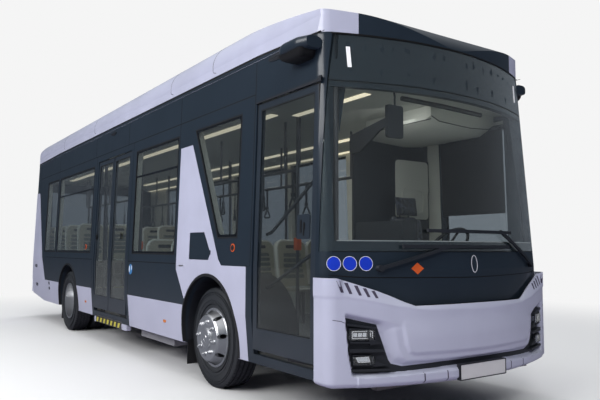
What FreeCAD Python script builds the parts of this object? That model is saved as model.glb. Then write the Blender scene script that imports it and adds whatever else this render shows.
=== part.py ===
import FreeCAD, Part
import math
import os

# City bus. X points to the front, Y to the driver's side, Z up, with the ground at Z = 0
# and X = Y = 0 under the middle of the bus. The passenger doors are on the -Y side.
# Sizes are in millimetres.

vec = FreeCAD.Vector

# Whole body
overall_length = 10000.0
body_width = 2450.0
roof_z = 3350.0
front_axle_x = 2760.0
wheelbase = 5030.0
half_width = body_width / 2
nose_x = overall_length / 2
tail_x = -overall_length / 2
rear_face_in = 15.0
rear_face_x = tail_x + rear_face_in
rear_axle_x = front_axle_x - wheelbase
overrun = 40.0
seat_gap = 0.3
run_gap = 5.0
fit_gap = 0.05

# Levels
skirt_z = 354.0
floor_z = 415.0
floor_t = 40.0
sill_z = 430.0
skirt_top_z = 735.0
belt_z = 1150.0
door_head_z = 2545.0
lining_z = 2590.0
lining_t = 20.0
roof_line_z = 2925.0
platform_z = 700.0
platform_x = -1500.0

# Side walls: they tuck in below the skirt line and lean in above the belt
wall_t = 75.0
skirt_tuck = 35.0
wall_lean = 55.0
panel_t = 14.0
flap_t = panel_t - seat_gap
pane_t = 6.0
pane_inset = 4.0
seam = 6.0
wall_front_x = 4540.0
wall_rear_x = -4830.0
tail_rise_x = -3950.0
tail_rise = 120.0

# Windows on the door side: x at the bottom rear, bottom front, top front, top rear
window_low_z = 1240.0
window_top_z = 2500.0
quarter_low_z = 1400.0
quarter_window_x = (2960.0, 3330.0, 3345.0, 2385.0)
door_side_windows = ((690.0, 1975.0), (-3050.0, -1060.0), (-3930.0, -3160.0))
driver_window = (3560.0, 4380.0)
driver_side_windows = ((700.0, 1975.0), (-1000.0, 610.0), (-3050.0, -1090.0), (-3930.0, -3160.0))

# Lilac panels
fin_rear_x = 2035.0
fin_top_z = 2360.0
fin_top_w = 290.0
fin_front_low_x = 2985.0
fin_low_z = 1205.0
fin_shoulder_x = 3045.0
fin_notch_z = 1085.0
fin_notch_x = 2240.0
fin_notch_low_z = 800.0
quarter_top_x = -4590.0
quarter_top_z = 2360.0
quarter_belt_x = -4080.0
quarter_foot_x = -3806.0

# Charge flap in the fin, with its hinge along the front edge
flap_x = (2350.0, 2670.0, 2815.0, 2775.0, 2375.0)
flap_z = (1457.0, 1457.0, 1265.0, 1200.0, 1200.0)
flap_gap = 5.0
flap_axis = (2817.0, 2.0)
flap_barrel_z = (1245.0, 1285.0)
flap_barrel_r = 5.0
flap_leaf_x = 2780.0
flap_leaf_t = 4.0

# Doors: opening edges along X
front_door_x = (3598.0, 4502.0)
middle_door_x = (-872.0, 492.0)
leaf_bottom_z = 475.0
leaf_t = 40.0
leaf_inset = 8.0
leaf_edge_gap = 6.0
leaf_meet_gap = 15.0
leaf_border = 62.0
leaf_rail_z = 650.0
front_jamb_w = 98.0
middle_jamb_w = 84.0
bar_share = 0.7
leaf_glass_t = 8.0
post_r = 22.0
post_offset = 95.0
post_overlap = 29.0
arm_w = 40.0
arm_low_z = 436.0
arm_t = 20.0
arm_high_z = 2552.0
pin_r = 8.0
pin_depth = 12.0
hinge_plate_z = 461.0
pocket_skin = 5.0
header_pocket_h = 35.0

# Front end in plan: a wide arc with two corner arcs
front_face_x = 4900.0
front_back_lean = 130.0
front_arc_r = 2700.0
front_corner_r = 110.0
glass_t = 8.0
mask_t = 60.0
mask_skin_t = 12.0
mask_low_z = 894.0
screen_low_z = 1287.0
screen_top_z = 2550.0
screen_view_low_z = 1359.0
screen_view_top_z = 2505.0
screen_view_half = 1140.0
glass_seam = 4.0

# Bumper
bumper_face_x = 4980.0
bumper_half = 1245.0
bumper_t = 18.0
bumper_low_z = 335.0
bumper_wing_z = 1100.0
hood_half = 620.0
hood_shoulder_y = 800.0
hood_shoulder_z = 1000.0
chin_proud = 20.0
chin_half_top = 790.0
chin_half_low = 720.0
chin_top_z = 770.0
chin_low_z = 530.0
recess_outer = ((1137.0, 867.0), (1109.0, 514.0), (1061.0, 414.0))
recess_inner = ((906.0, 769.0), (816.0, 500.0))
insert_t = 16.0
insert_lap = 14.0
slat_h = 26.0
slat_z = 590.0
lamp_inset = 8.0
upper_lamp = (925.0, 1095.0, 668.0, 738.0)
lower_lamp = (930.0, 1070.0, 498.0, 556.0)
plate_half = 262.0
plate_z = (343.0, 457.0)
plate_proud = 10.0

# Rear end in plan
rear_arc_r = 12000.0
rear_corner_r = 160.0
rear_wall_t = 60.0
rear_low_z = 474.0
rear_split_z = 700.0
rear_skin_gap = 5.0
hatch_half = 820.0
hatch_z = (770.0, 1400.0)
hatch_t = 40.0
hatch_axis_in = 3.0
hatch_barrel_r = 10.0
hatch_pin_r = 5.0
hatch_hinge_y = 500.0
hatch_barrel_half = 30.0
hatch_bracket_w = 20.0
rear_view_half = 880.0
rear_view_z = (1620.0, 2420.0)
rear_lamp_y = (960.0, 1060.0)
rear_lamp_z = (880.0, 1460.0)
rear_lamp_t = 22.0
rear_plate_z = (525.0, 645.0)
rear_plate_in = 8.0

# Roof
roof_t = 45.0
cove_low = (1158.0, 3060.0)
cove_mid = (1093.0, 3255.0)
cove_top = (900.0, 3330.0)
roof_nose_bends = ((50.0, 105.0), (170.0, 163.0), (1000.0, 286.0))
roof_nose_run = 2150.0
roof_tail_bends = ((45.0, 190.0), (140.0, 285.0), (320.0, 375.0))
roof_tail_run = 620.0
dome_rear_x = 3950.0
dome_half = 900.0

# Wheels
tyre_r = 464.0
tyre_w = 255.0
bead_r = 268.0
shoulder_drop = 14.0
groove_depth = 12.0
groove_w = 12.0
groove_places = (-72.0, -24.0, 24.0, 72.0)
bead_share = 0.86
bulge_share = 0.45
shoulder_share = 0.94
tread_share = 0.84
disc_share = 0.8
front_tyre_face_y = 1150.0
rear_tyre_face_y = 1190.0
twin_pitch = 290.0
rim_w = 225.0
rim_wall = 12.0
flange_lip = 9.0
hub_face_out = 68.0
hub_flange_r = 207.0
disc_t = 14.0
spindle_r = 60.0
nut_count = 8
nut_circle_r = 150.0
nut_r = 16.0
nut_h = 26.0
nut_turn = math.radians(-8.0)
hand_hole_r = 22.0
hand_hole_circle_r = 232.0
hand_hole_turn = math.radians(9.0)
hub_cap_r = 96.0
hub_cap_h = 20.0
front_y = front_tyre_face_y - tyre_w / 2
rear_y = rear_tyre_face_y - tyre_w / 2

# Arches and liners
arch_r = 578.0
liner_t = 12.0
front_liner_in_y = 560.0
rear_liner_in_y = 600.0
flap_half_w = 150.0
mud_flap_t = 8.0
mud_flap_low_z = 130.0

# Axles, knuckles and what holds them
kingpin_offset = 105.0
kingpin_r = 25.0
fist_half_h = 66.0
fist_half_x = 45.0
fist_reach = 80.0
fork_t = 40.0
fork_half_x = 50.0
beam_z = (195.0, 285.0)
beam_half_y = 720.0
spring_r = 70.0
spring_y = 486.0
axle_tube_r = 95.0
axle_bulge_r = 150.0
axle_bulge_half = 190.0
kingpin_y = front_y - kingpin_offset

# Frame under the floor
rail_y = (350.0, 410.0)
rail_h = 75.0
rear_rail_z = 590.0
front_jack_x = 1200.0
rear_jack_x = -3400.0
jack_pad_half = 60.0
jack_pad_t = 20.0
front_rail_end_x = 4500.0
cross_xs = (4300.0, 3500.0, 1800.0, 900.0, -1000.0)
cross_w = 60.0
tray_x = (700.0, 1700.0)
tray_in_y = 440.0
tray_out_y = 1080.0
tray_low_z = 240.0
bumper_beam = (4690.0, 4750.0, 860.0)

# Ramp in its cassette under the middle door
ramp_x = (-770.0, 280.0)
ramp_len = 740.0
ramp_t = 26.0
ramp_z = 310.0
ramp_cap_z = (285.0, 372.0)
ramp_cap_t = 24.0
ramp_face_y = 1195.0
cassette_t = 4.0

# Seats
seat_w = 430.0
seat_pan_d = 420.0
seat_pan_t = 40.0
seat_pan_h = 430.0
seat_back_h = 560.0
seat_back_t = 32.0
seat_back_rake = 90.0
back_trim_share = 0.35
seat_foot_r = 28.0
seat_gap_y = 20.0
seat_wall_gap = 30.0
low_rows_left = (1750.0, 1000.0, 250.0, -500.0)
low_rows_right = (1750.0, 1000.0)
high_rows = (-2050.0, -2800.0, -3550.0)
bench_x = -4330.0

# Driver's place
driver_x = 3560.0
driver_y = 640.0
driver_floor_z = 640.0
driver_floor_rear_x = 3390.0
driver_floor_front_x = 4250.0
cab_aisle_y = 60.0
partition_t = 30.0
partition_top_z = 2250.0
cab_door_z = (660.0, 1560.0)
cab_door_x = (3450.0, 4100.0)
cab_door_post_r = 16.0
cab_pin_r = 10.0
cab_pin_depth = 30.0
dash_rear_x = 4330.0
dash_top_z = 1290.0
dash_low_z = 720.0
dash_right_y = -60.0
dash_left_y = 1100.0
column_foot = (4420.0, 1010.0)
wheel_centre = (4080.0, 1330.0)
steering_wheel_r = 220.0
steering_rim_r = 15.0
steering_hub_r = 45.0
steering_boss = 30.0
spoke_share = 0.8
dash_slope = 120.0
column_r = 32.0

# Rails and poles
pole_r = 17.0
rail_line_y = 430.0
rail_line_z = 2080.0
rail_line_x = (-4100.0, 3150.0)
rail_break_x = (-1250.0, 900.0)
rail_bend = 90.0
dropper_xs = (2900.0, 1500.0, 100.0, -1500.0, -2700.0, -3900.0)
low_poles = ((3200.0, -480.0), (620.0, -480.0), (-1000.0, -480.0), (1540.0, 480.0), (40.0, 480.0))
high_poles = ((-2260.0, 480.0), (-2260.0, -480.0), (-3775.0, 480.0), (-3775.0, -480.0))

# Small things outside
pod_x = (4075.0, 4505.0)
pod_z = (2735.0, 2890.0)
pod_reach = 170.0
pod_round = 52.0
wiper_half_w = 13.0
wiper_t = 20.0
wiper_hub_r = 24.0
wiper_pivots = ((-846.0, 1165.0), (978.0, 1170.0))
wiper_elbows = ((-236.0, 1329.0), (383.0, 1450.0))
wiper_blades = ((-667.0, 501.0, 1322.0), (-449.0, 550.0, 1441.0))
wiper_stand = 14.0
light_half_w = 40.0
light_y = 720.0
light_h = 10.0
battery_x = (-3500.0, 1500.0)
battery_half = 800.0
battery_top_z = 3040.0
motor_x = (-4480.0, -3780.0)
motor_half = 380.0
motor_low_z = 380.0


def wall_y(z):
    """Half width of the body's outer face at height z."""
    if z < skirt_top_z:
        return half_width - skirt_tuck * (skirt_top_z - z) / (skirt_top_z - skirt_z)
    if z < belt_z:
        return half_width
    return half_width - wall_lean * (z - belt_z) / (roof_line_z - belt_z)


def inner_y(z):
    """Half width of the cabin at height z."""
    return wall_y(max(z, skirt_top_z)) - wall_t


def levels(z0, z1):
    """Heights at which the side wall changes slope between z0 and z1."""
    return [z0] + [z for z in (skirt_top_z, belt_z) if z0 < z < z1] + [z1]


def box(x0, x1, y0, y1, z0, z1):
    return Part.makeBox(x1 - x0, y1 - y0, z1 - z0, vec(x0, y0, z0))


def polygon(points):
    return Part.Face(Part.makePolygon(points + [points[0]]))


def along_x(yz, x0, x1):
    return polygon([vec(x0, y, z) for y, z in yz]).extrude(vec(x1 - x0, 0, 0))


def along_y(xz, y0, y1):
    return polygon([vec(x, y0, z) for x, z in xz]).extrude(vec(0, y1 - y0, 0))


def rod(start, end, radius):
    run = end - start
    return Part.makeCylinder(radius, run.Length, start, run)


def post(x, y, z0, z1, radius):
    return rod(vec(x, y, z0), vec(x, y, z1), radius)


def cross_rod(x, z, y0, y1, radius):
    return rod(vec(x, y0, z), vec(x, y1, z), radius)


def mirrored(shape):
    return shape.mirror(vec(0, 0, 0), vec(0, 1, 0))


def both(shape):
    return [shape, mirrored(shape)]


def joined(shapes):
    first = shapes[0]
    return first.multiFuse(shapes[1:]).removeSplitter() if len(shapes) > 1 else first


def less(shape, cutters):
    return shape.cut(Part.makeCompound(cutters)) if cutters else shape


def save(name, shapes):
    solids = [solid for shape in shapes for solid in shape.Solids]
    out = solids[0] if len(solids) == 1 else Part.makeCompound(solids)
    out.exportStep("parts/" + name + ".step")
    print(name, len(solids), round(sum(s.Volume for s in solids) / 1e9, 5), out.isValid())


def wall_strip(x0, x1, z0, z1, depth_out, depth_in):
    """Part of the +Y side wall between two depths under its outer face."""
    zs = levels(z0, z1)
    outer = [(wall_y(z) - depth_out, z) for z in zs]
    inner = [(wall_y(z) - depth_in, z) for z in reversed(zs)]
    return along_x(outer + inner, x0, x1)


def wall_block(x0, x1, z0, z1):
    """Part of the +Y side wall, as thick as the whole wall; it follows the body's corners."""
    half = [(0, z0)] + [(wall_y(z), z) for z in levels(z0, z1)] + [(0, z1)]
    return along_x(half, x0, x1).common(body_block(z0, z1, 0)).cut(body_block(z0, z1, wall_t))


def wall_opening(xz):
    """Cutter through the +Y side wall."""
    return along_y(xz, half_width - wall_t - wall_lean - overrun, half_width + overrun)


def rectangle(x0, x1, z0, z1):
    return [(x0, z0), (x1, z0), (x1, z1), (x0, z1)]


def plan_wire(face_x, half, arc_r, corner_r, z, inset):
    """Closed outline of the body in plan, rounded at one end; a negative face_x is the rear."""
    way = 1 if face_x > 0 else -1
    half, arc_r, corner_r = half - inset, arc_r - inset, corner_r - inset
    face = abs(face_x) - inset
    turn = math.asin((half - corner_r) / (arc_r - corner_r))
    centre_x = face - arc_r
    corner_x = centre_x + (arc_r - corner_r) * math.cos(turn)

    def at(x, y):
        return vec(way * x, y, z)

    def corner(angle, side):
        return at(corner_x + corner_r * math.cos(angle),
                  side * (half - corner_r + corner_r * math.sin(angle)))

    middle = (turn + math.pi / 2) / 2
    edges = [Part.makeLine(at(-nose_x, -half), at(corner_x, -half)),
             Part.Arc(corner(math.pi / 2, -1), corner(middle, -1), corner(turn, -1)).toShape(),
             Part.Arc(corner(turn, -1), at(face, 0), corner(turn, 1)).toShape(),
             Part.Arc(corner(turn, 1), corner(middle, 1), corner(math.pi / 2, 1)).toShape(),
             Part.makeLine(at(corner_x, half), at(-nose_x, half)),
             Part.makeLine(at(-nose_x, half), at(-nose_x, -half))]
    return Part.Wire(edges)


def front_face_at(z):
    return front_face_x - front_back_lean * max(0, z - belt_z) / (roof_line_z - belt_z)


def end_block(z0, z1, wire_at):
    """Solid through the body's outlines at z0, at the belt and at z1."""
    zs = [z0] + [z for z in (belt_z,) if z0 < z < z1] + [z1]
    wires = [wire_at(z) for z in zs]
    pieces = [Part.makeLoft(wires[i:i + 2], True, True) for i in range(len(wires) - 1)]
    return joined(pieces)


def front_block(z0, z1, inset):
    return end_block(z0, z1, lambda z: plan_wire(
        front_face_at(z), wall_y(max(z, skirt_top_z)), front_arc_r, front_corner_r, z, inset))


def rear_block(z0, z1, inset, face_x=rear_face_x):
    return end_block(z0, z1, lambda z: plan_wire(
        face_x, wall_y(max(z, skirt_top_z)), rear_arc_r, rear_corner_r, z, inset))


def body_block(z0, z1, inset):
    """The whole body between two heights, inset by one depth on all its sides."""
    return front_block(z0, z1, inset).common(rear_block(z0, z1, inset))


def bumper_block(z0, z1, inset):
    return end_block(z0, z1, lambda z: plan_wire(
        bumper_face_x, bumper_half, front_arc_r, front_corner_r, z, inset))


def ahead(shape):
    """What lies in front of the side walls."""
    reach = half_width + 2 * overrun
    return shape.common(box(wall_front_x, nose_x + overrun, -reach, reach, 0, roof_z))


def behind(shape):
    """What lies behind the side walls."""
    reach = half_width + overrun
    return shape.common(box(tail_x - overrun, wall_rear_x, -reach, reach, 0, roof_z))


def front_layer(z0, z1, inset_out, inset_in):
    return ahead(front_block(z0, z1, inset_out).cut(front_block(z0, z1, inset_in)))


def bumper_layer(z0, z1, inset_out, inset_in):
    return ahead(bumper_block(z0, z1, inset_out).cut(bumper_block(z0, z1, inset_in)))


def rear_layer(z0, z1, inset_out, inset_in):
    return behind(rear_block(z0, z1, inset_out).cut(rear_block(z0, z1, inset_in)))


def view_from_front(yz):
    """Prism along X that trims the front end to an outline seen from the front."""
    return along_x(yz, wall_front_x - overrun, nose_x + overrun)


def two_sided(half_outline):
    """Closed outline from one half, listed from top to bottom at +Y."""
    return half_outline + [(-y, z) for y, z in reversed(half_outline)]


# Lilac panels of the side walls

def fin_outline(front_x):
    return [(fin_rear_x, fin_top_z), (fin_rear_x + fin_top_w, fin_top_z),
            (fin_front_low_x, fin_low_z), (fin_shoulder_x, belt_z), (front_x, belt_z),
            (front_x, skirt_z), (front_axle_x, skirt_z), (front_axle_x, fin_notch_low_z),
            (fin_notch_x, fin_notch_low_z), (fin_rear_x, fin_notch_z)]


def quarter_outline():
    return [(wall_rear_x, quarter_top_z), (quarter_top_x, quarter_top_z),
            (quarter_belt_x, belt_z), (quarter_foot_x, skirt_top_z),
            (rear_axle_x, skirt_top_z), (rear_axle_x, skirt_z), (wall_rear_x, skirt_z)]


def lilac_outlines(doors):
    if not doors:
        return [fin_outline(wall_front_x), quarter_outline(),
                rectangle(rear_axle_x + seam, front_axle_x - seam, skirt_z, skirt_top_z)]
    return [fin_outline(front_door_x[0] - front_jamb_w), quarter_outline(),
            rectangle(rear_axle_x + seam, middle_door_x[0] - middle_jamb_w, skirt_z, skirt_top_z),
            rectangle(middle_door_x[1] + middle_jamb_w, front_axle_x - seam, skirt_z, skirt_top_z)]


def arch_cutters(radius):
    """Cylinders through the +Y wall round each wheel, open at the bottom."""
    cutters = []
    for x in (front_axle_x, rear_axle_x):
        cutters.append(cross_rod(x, tyre_r, front_liner_in_y, half_width + overrun, radius))
    return cutters


def tail_cutter():
    """Wedge under the rear overhang, where the skirt rises to the rear bumper."""
    low = skirt_z - overrun
    points = [(tail_rise_x, low), (tail_rise_x, skirt_z), (tail_x, skirt_z + tail_rise),
              (tail_x - overrun, low)]
    return along_y(points, -half_width - overrun, half_width + overrun)


def door_cutters():
    cutters = []
    for x0, x1 in (front_door_x, middle_door_x):
        cutters.append(wall_opening(rectangle(x0, x1, sill_z, door_head_z)))
    return cutters


def header_pockets():
    """Slots over the doors in which the upper arms lie."""
    pocket_y = wall_y(door_head_z + header_pocket_h) - pocket_skin
    skin = body_block(door_head_z, door_head_z + header_pocket_h, pocket_skin)
    cutters = []
    for x0, x1 in (front_door_x, middle_door_x):
        cutters.append(box(x0 - overrun, x1 + overrun, pocket_y - 3 * wall_t, pocket_y,
                           door_head_z, door_head_z + header_pocket_h).common(skin))
    return cutters


def post_room():
    """Room for the front door's post in the corner of the body."""
    post_x, _, _, _ = leaf_span(front_door_x[1], -1, 0)
    return post(post_x, post_y, floor_z, roof_line_z, post_r + run_gap)


def side_window_outlines(doors):
    quarter = [(x, z) for x, z in zip(quarter_window_x, (quarter_low_z, quarter_low_z,
                                                         window_top_z, window_top_z))]
    spans = door_side_windows if doors else driver_side_windows + (driver_window,)
    return [quarter] + [rectangle(x0, x1, window_low_z, window_top_z) for x0, x1 in spans]


def flap_outline(grow):
    """The flap's outline, grown on all edges for the hole that it closes."""
    rear_x, front_top_x, front_x, front_low_x, low_x = flap_x
    top_z, _, side_z, low_z, _ = flap_z
    return [(rear_x - grow, top_z + grow), (front_top_x + grow / 2, top_z + grow),
            (front_x + grow, side_z), (front_low_x + grow, low_z - grow),
            (rear_x - grow, low_z - grow)]


def ramp_mouth():
    return box(ramp_x[0] - run_gap, ramp_x[1] + run_gap, 0, half_width + overrun,
               skirt_z - overrun, ramp_cap_z[1] + run_gap)


def side_wall(doors):
    """Dark side wall of the +Y side, with or without the passenger doors."""
    wall = wall_block(wall_rear_x, wall_front_x, skirt_z, roof_line_z)
    cutters = [wall_opening(outline) for outline in side_window_outlines(doors)]
    cutters += arch_cutters(arch_r) + [tail_cutter()]
    if doors:
        cutters += door_cutters() + header_pockets() + [ramp_mouth(), post_room()]
        cutters.append(flap_pocket())
    cutters += lilac_pockets(doors)
    return less(wall, cutters)


def panel_strip():
    return wall_strip(wall_rear_x, wall_front_x, skirt_z, roof_line_z, 0, panel_t)


def lilac_pockets(doors):
    """What the lilac panels take out of the wall's outer face."""
    strip = wall_strip(wall_rear_x, wall_front_x, skirt_z, roof_line_z, -overrun, panel_t)
    return [strip.common(wall_opening(outline)) for outline in lilac_outlines(doors)]


def flap_pocket():
    strip = wall_strip(wall_rear_x, wall_front_x, skirt_z, roof_line_z, -overrun, panel_t)
    return strip.common(wall_opening(flap_outline(flap_gap)))


def side_panels(doors):
    strip = panel_strip()
    panels = [strip.common(wall_opening(outline)) for outline in lilac_outlines(doors)]
    cutters = arch_cutters(arch_r) + [tail_cutter()]
    if doors:
        cutters.append(wall_opening(flap_outline(flap_gap)))
        cutters.append(flap_barrel(flap_barrel_r + run_gap, run_gap))
    return [less(panel, cutters) for panel in panels]


def side_panes(doors):
    strip = wall_strip(wall_rear_x, wall_front_x, window_low_z - overrun, roof_line_z,
                       pane_inset, pane_inset + pane_t)
    return [strip.common(wall_opening(outline)) for outline in side_window_outlines(doors)]


def charge_flap():
    strip = wall_strip(flap_x[0] - overrun, flap_x[2] + overrun, skirt_top_z, roof_line_z,
                       0, flap_t)
    flap = strip.common(wall_opening(flap_outline(0)))
    z0, z1 = flap_barrel_z
    leaf = wall_strip(flap_leaf_x, flap_axis[0], z0, z1, -flap_leaf_t, 0)
    return joined([flap, leaf, flap_barrel(flap_barrel_r, 0)])


def flap_barrel(radius, grow):
    """Barrel of the flap's hinge, or the room around it."""
    x, out = flap_axis
    z0, z1 = flap_barrel_z[0] - grow, flap_barrel_z[1] + grow
    return rod(vec(x, wall_y(z0) + out, z0), vec(x, wall_y(z1) + out, z1), radius)


# Passenger doors, built on the +Y side and mirrored to the door side

leaf_axis_y = wall_y(door_head_z) - leaf_inset - leaf_t / 2
post_y = leaf_axis_y - post_offset


def door_leaves():
    """Each leaf: name, jamb with the post, and the way along X from that jamb."""
    front_w = front_door_x[1] - front_door_x[0] - leaf_edge_gap - leaf_meet_gap
    middle_w = (middle_door_x[1] - middle_door_x[0] - 2 * leaf_edge_gap - leaf_meet_gap) / 2
    return (("door_front", front_door_x[1], -1, front_w),
            ("door_mid_front", middle_door_x[1], -1, middle_w),
            ("door_mid_rear", middle_door_x[0], 1, middle_w))


def leaf_span(jamb_x, way, width):
    """The post's X, the leaf's pivot X and the leaf's own ends along X."""
    near_x = jamb_x + way * leaf_edge_gap
    post_x = near_x - way * (post_overlap + leaf_edge_gap)
    far_x = near_x + way * width
    pivot_x = (post_x + far_x) / 2
    return post_x, pivot_x, min(near_x, far_x), max(near_x, far_x)


def leaf_slab(x0, x1, z0, z1, depth_out, depth_in):
    return wall_strip_flat(x0, x1, z0, z1, leaf_inset + depth_out, leaf_inset + depth_in)


def wall_strip_flat(x0, x1, z0, z1, depth_out, depth_in):
    """Strip of the wall that stays upright below the belt, as the leaves do."""
    zs = [z0] + [z for z in (belt_z,) if z0 < z < z1] + [z1]
    outer = [(wall_y(max(z, skirt_top_z)) - depth_out, z) for z in zs]
    inner = [(wall_y(max(z, skirt_top_z)) - depth_in, z) for z in reversed(zs)]
    return along_x(outer + inner, x0, x1)


def leaf_top_z():
    return door_head_z - run_gap


def door_leaf(jamb_x, way, width):
    post_x, pivot_x, x0, x1 = leaf_span(jamb_x, way, width)
    top = leaf_top_z()
    frame = leaf_slab(x0, x1, leaf_bottom_z, top, 0, leaf_t)
    frame = frame.common(body_block(leaf_bottom_z, top, leaf_inset))
    view = leaf_view(x0, x1)
    frame = frame.cut(leaf_slab(view[0], view[1], view[2], view[3], -overrun, leaf_t + overrun))
    plate = box(pivot_x - arm_w / 2, pivot_x + arm_w / 2, leaf_axis_y - arm_w / 2,
                half_width - leaf_inset - leaf_t / 2, hinge_plate_z, leaf_bottom_z)
    low_hole = post(pivot_x, leaf_axis_y, hinge_plate_z - overrun, leaf_bottom_z, pin_r + fit_gap)
    high_hole = post(pivot_x, leaf_axis_y, top - pin_depth, top + overrun, pin_r + fit_gap)
    return joined([frame, plate]).cut(low_hole).cut(high_hole)


def leaf_view(x0, x1):
    return (x0 + leaf_border, x1 - leaf_border, leaf_rail_z, leaf_top_z() - leaf_border)


def leaf_glass(jamb_x, way, width):
    _, _, x0, x1 = leaf_span(jamb_x, way, width)
    view = leaf_view(x0, x1)
    return leaf_slab(view[0], view[1], view[2], view[3], pane_inset, pane_inset + leaf_glass_t)


def door_post(jamb_x, way, width):
    """Upright post with an arm at its foot and one at its head, each ending in a pin."""
    post_x, pivot_x, _, _ = leaf_span(jamb_x, way, width)
    arm_top = arm_high_z + arm_t
    pieces = [post(post_x, post_y, floor_z + seat_gap, lining_z - seat_gap, post_r)]
    for z in (arm_low_z, arm_high_z):
        pieces.append(door_arm(post_x, pivot_x, z))
    pieces.append(post(pivot_x, leaf_axis_y, arm_low_z, leaf_bottom_z - seat_gap, pin_r))
    pieces.append(post(pivot_x, leaf_axis_y, leaf_top_z() - pin_depth + seat_gap, arm_top, pin_r))
    return joined(pieces)


def door_arm(post_x, pivot_x, z):
    run = vec(pivot_x - post_x, leaf_axis_y - post_y, 0)
    length = run.Length
    bar = Part.makeBox(length, arm_w * bar_share, arm_t, vec(0, -arm_w * bar_share / 2, 0))
    bar.rotate(vec(0, 0, 0), vec(0, 0, 1), math.degrees(math.atan2(run.y, run.x)))
    bar.translate(vec(post_x, post_y, z))
    end = post(pivot_x, leaf_axis_y, z, z + arm_t, post_r * bar_share)
    return joined([bar, post(post_x, post_y, z, z + arm_t, post_r), end])


# Front end

def front_mask():
    frame = front_layer(mask_low_z, roof_line_z, glass_t + seat_gap, mask_t)
    view = view_from_front(two_sided([(screen_view_half, screen_view_top_z),
                                      (screen_view_half, screen_view_low_z)]))
    skin = front_layer(mask_low_z, screen_low_z - glass_seam, 0, mask_skin_t)
    return joined([frame.cut(view), skin]).cut(mirrored(post_room()))


def windscreen():
    return front_layer(screen_low_z, screen_top_z - glass_seam, 0, glass_t)


def destination_glass():
    return front_layer(screen_top_z + glass_seam, roof_line_z - glass_seam, 0, glass_t)


def bumper_outline(drop):
    """The bumper seen from the front: low in the middle, with a wing at each side."""
    half = [(bumper_half + overrun, bumper_wing_z - drop), (bumper_half + overrun, bumper_low_z)]
    top = [(-hood_shoulder_y, hood_shoulder_z - drop), (-hood_half, mask_low_z - drop),
           (hood_half, mask_low_z - drop), (hood_shoulder_y, hood_shoulder_z - drop)]
    return two_sided(half) + top


def recess_outline(lap):
    """U-shaped recess under and beside the middle panel, seen from the front."""
    outer = [(y + lap, z + lap) for y, z in recess_outer[:1]]
    outer += [(y + lap, z - lap) for y, z in recess_outer[1:]]
    inner = [(y - lap, z + lap) for y, z in recess_inner]
    left = [inner[1], inner[0]] + outer
    return left + [(-y, z) for y, z in reversed(left)]


def chin_panel():
    half = [(chin_half_top, chin_top_z), (chin_half_low, chin_low_z)]
    return bumper_layer(chin_low_z, chin_top_z, -chin_proud, bumper_t / 2).common(
        view_from_front(two_sided(half)))


def front_bumper():
    outline = bumper_outline(0)
    shell = bumper_layer(bumper_low_z, bumper_wing_z, 0, bumper_t)
    shell = shell.common(view_from_front(outline))
    shell = shell.cut(view_from_front(recess_outline(0)))
    plate = box(bumper_face_x - bumper_t, bumper_face_x + plate_proud, -plate_half, plate_half,
                plate_z[0], plate_z[1])
    return joined([shell, bumper_shelf(outline), chin_panel(), plate])


def bumper_shelf(outline):
    """Upper side of the bumper, back to the front mask."""
    solid = bumper_block(skirt_top_z, bumper_wing_z, 0)
    solid = ahead(solid.cut(front_block(skirt_top_z, bumper_wing_z + overrun, -seat_gap)))
    solid = solid.common(view_from_front(outline))
    return solid.cut(view_from_front(bumper_outline(bumper_t)))


def front_grille():
    insert = bumper_layer(bumper_low_z, bumper_wing_z, bumper_t + seat_gap, bumper_t + insert_t)
    insert = insert.common(view_from_front(recess_outline(insert_lap)))
    slats = []
    for side in (-1, 1):
        outer_y, inner_y_here = recess_outer[1][0], recess_inner[0][0]
        ys = sorted((side * (outer_y - insert_lap), side * (inner_y_here - insert_lap)))
        slab = box(wall_front_x, nose_x, ys[0], ys[1], slat_z, slat_z + slat_h)
        slats.append(bumper_layer(slat_z - overrun, slat_z + slat_h + overrun,
                                  lamp_inset, bumper_t + insert_t).common(slab))
    return joined([insert] + slats)


def lamp(area):
    y0, y1, z0, z1 = area
    layer = bumper_layer(z0, z1, lamp_inset, bumper_t)
    return layer.common(box(wall_front_x, nose_x, y0, y1, z0, z1))


def front_lamps():
    return both(lamp(upper_lamp)) + both(lamp(lower_lamp))


# Rear end

def rear_wall():
    shell = rear_layer(rear_split_z, roof_line_z, 0, rear_wall_t)
    hatch = box(tail_x - overrun, wall_rear_x, -hatch_half - run_gap, hatch_half + run_gap,
                hatch_z[0] - run_gap, hatch_z[1] + run_gap)
    view = box(tail_x - overrun, wall_rear_x, -rear_view_half, rear_view_half,
               rear_view_z[0], rear_view_z[1])
    shell = shell.cut(hatch).cut(view)
    shell = less(shell, rear_lamps() + hatch_barrels(run_gap, run_gap))
    return joined([shell] + hatch_brackets())


def hatch_axis():
    return rear_face_x - hatch_axis_in, hatch_z[1] + run_gap / 2


def hatch_barrels(grow_r, grow_y):
    """The hatch's own hinge barrels, or the room that they need."""
    x, z = hatch_axis()
    half = hatch_barrel_half + grow_y
    return both(cross_rod(x, z, hatch_hinge_y - half, hatch_hinge_y + half,
                          hatch_barrel_r + grow_r))


def hatch_brackets():
    """Pins through the hatch's barrels, held at both ends by the rear wall."""
    x, z = hatch_axis()
    near, far = hatch_hinge_y - hatch_barrel_half, hatch_hinge_y + hatch_barrel_half
    pieces = [cross_rod(x, z, near - hatch_bracket_w, far + hatch_bracket_w, hatch_pin_r)]
    for y0 in (near - hatch_bracket_w, far + seat_gap):
        pieces.append(cross_rod(x, z, y0, y0 + hatch_bracket_w - seat_gap, hatch_barrel_r))
        pieces.append(box(x, x + hatch_t, y0, y0 + hatch_bracket_w - seat_gap,
                          z + run_gap / 2, z + hatch_barrel_r))
    return [shape for piece in pieces for shape in both(piece)]


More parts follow.
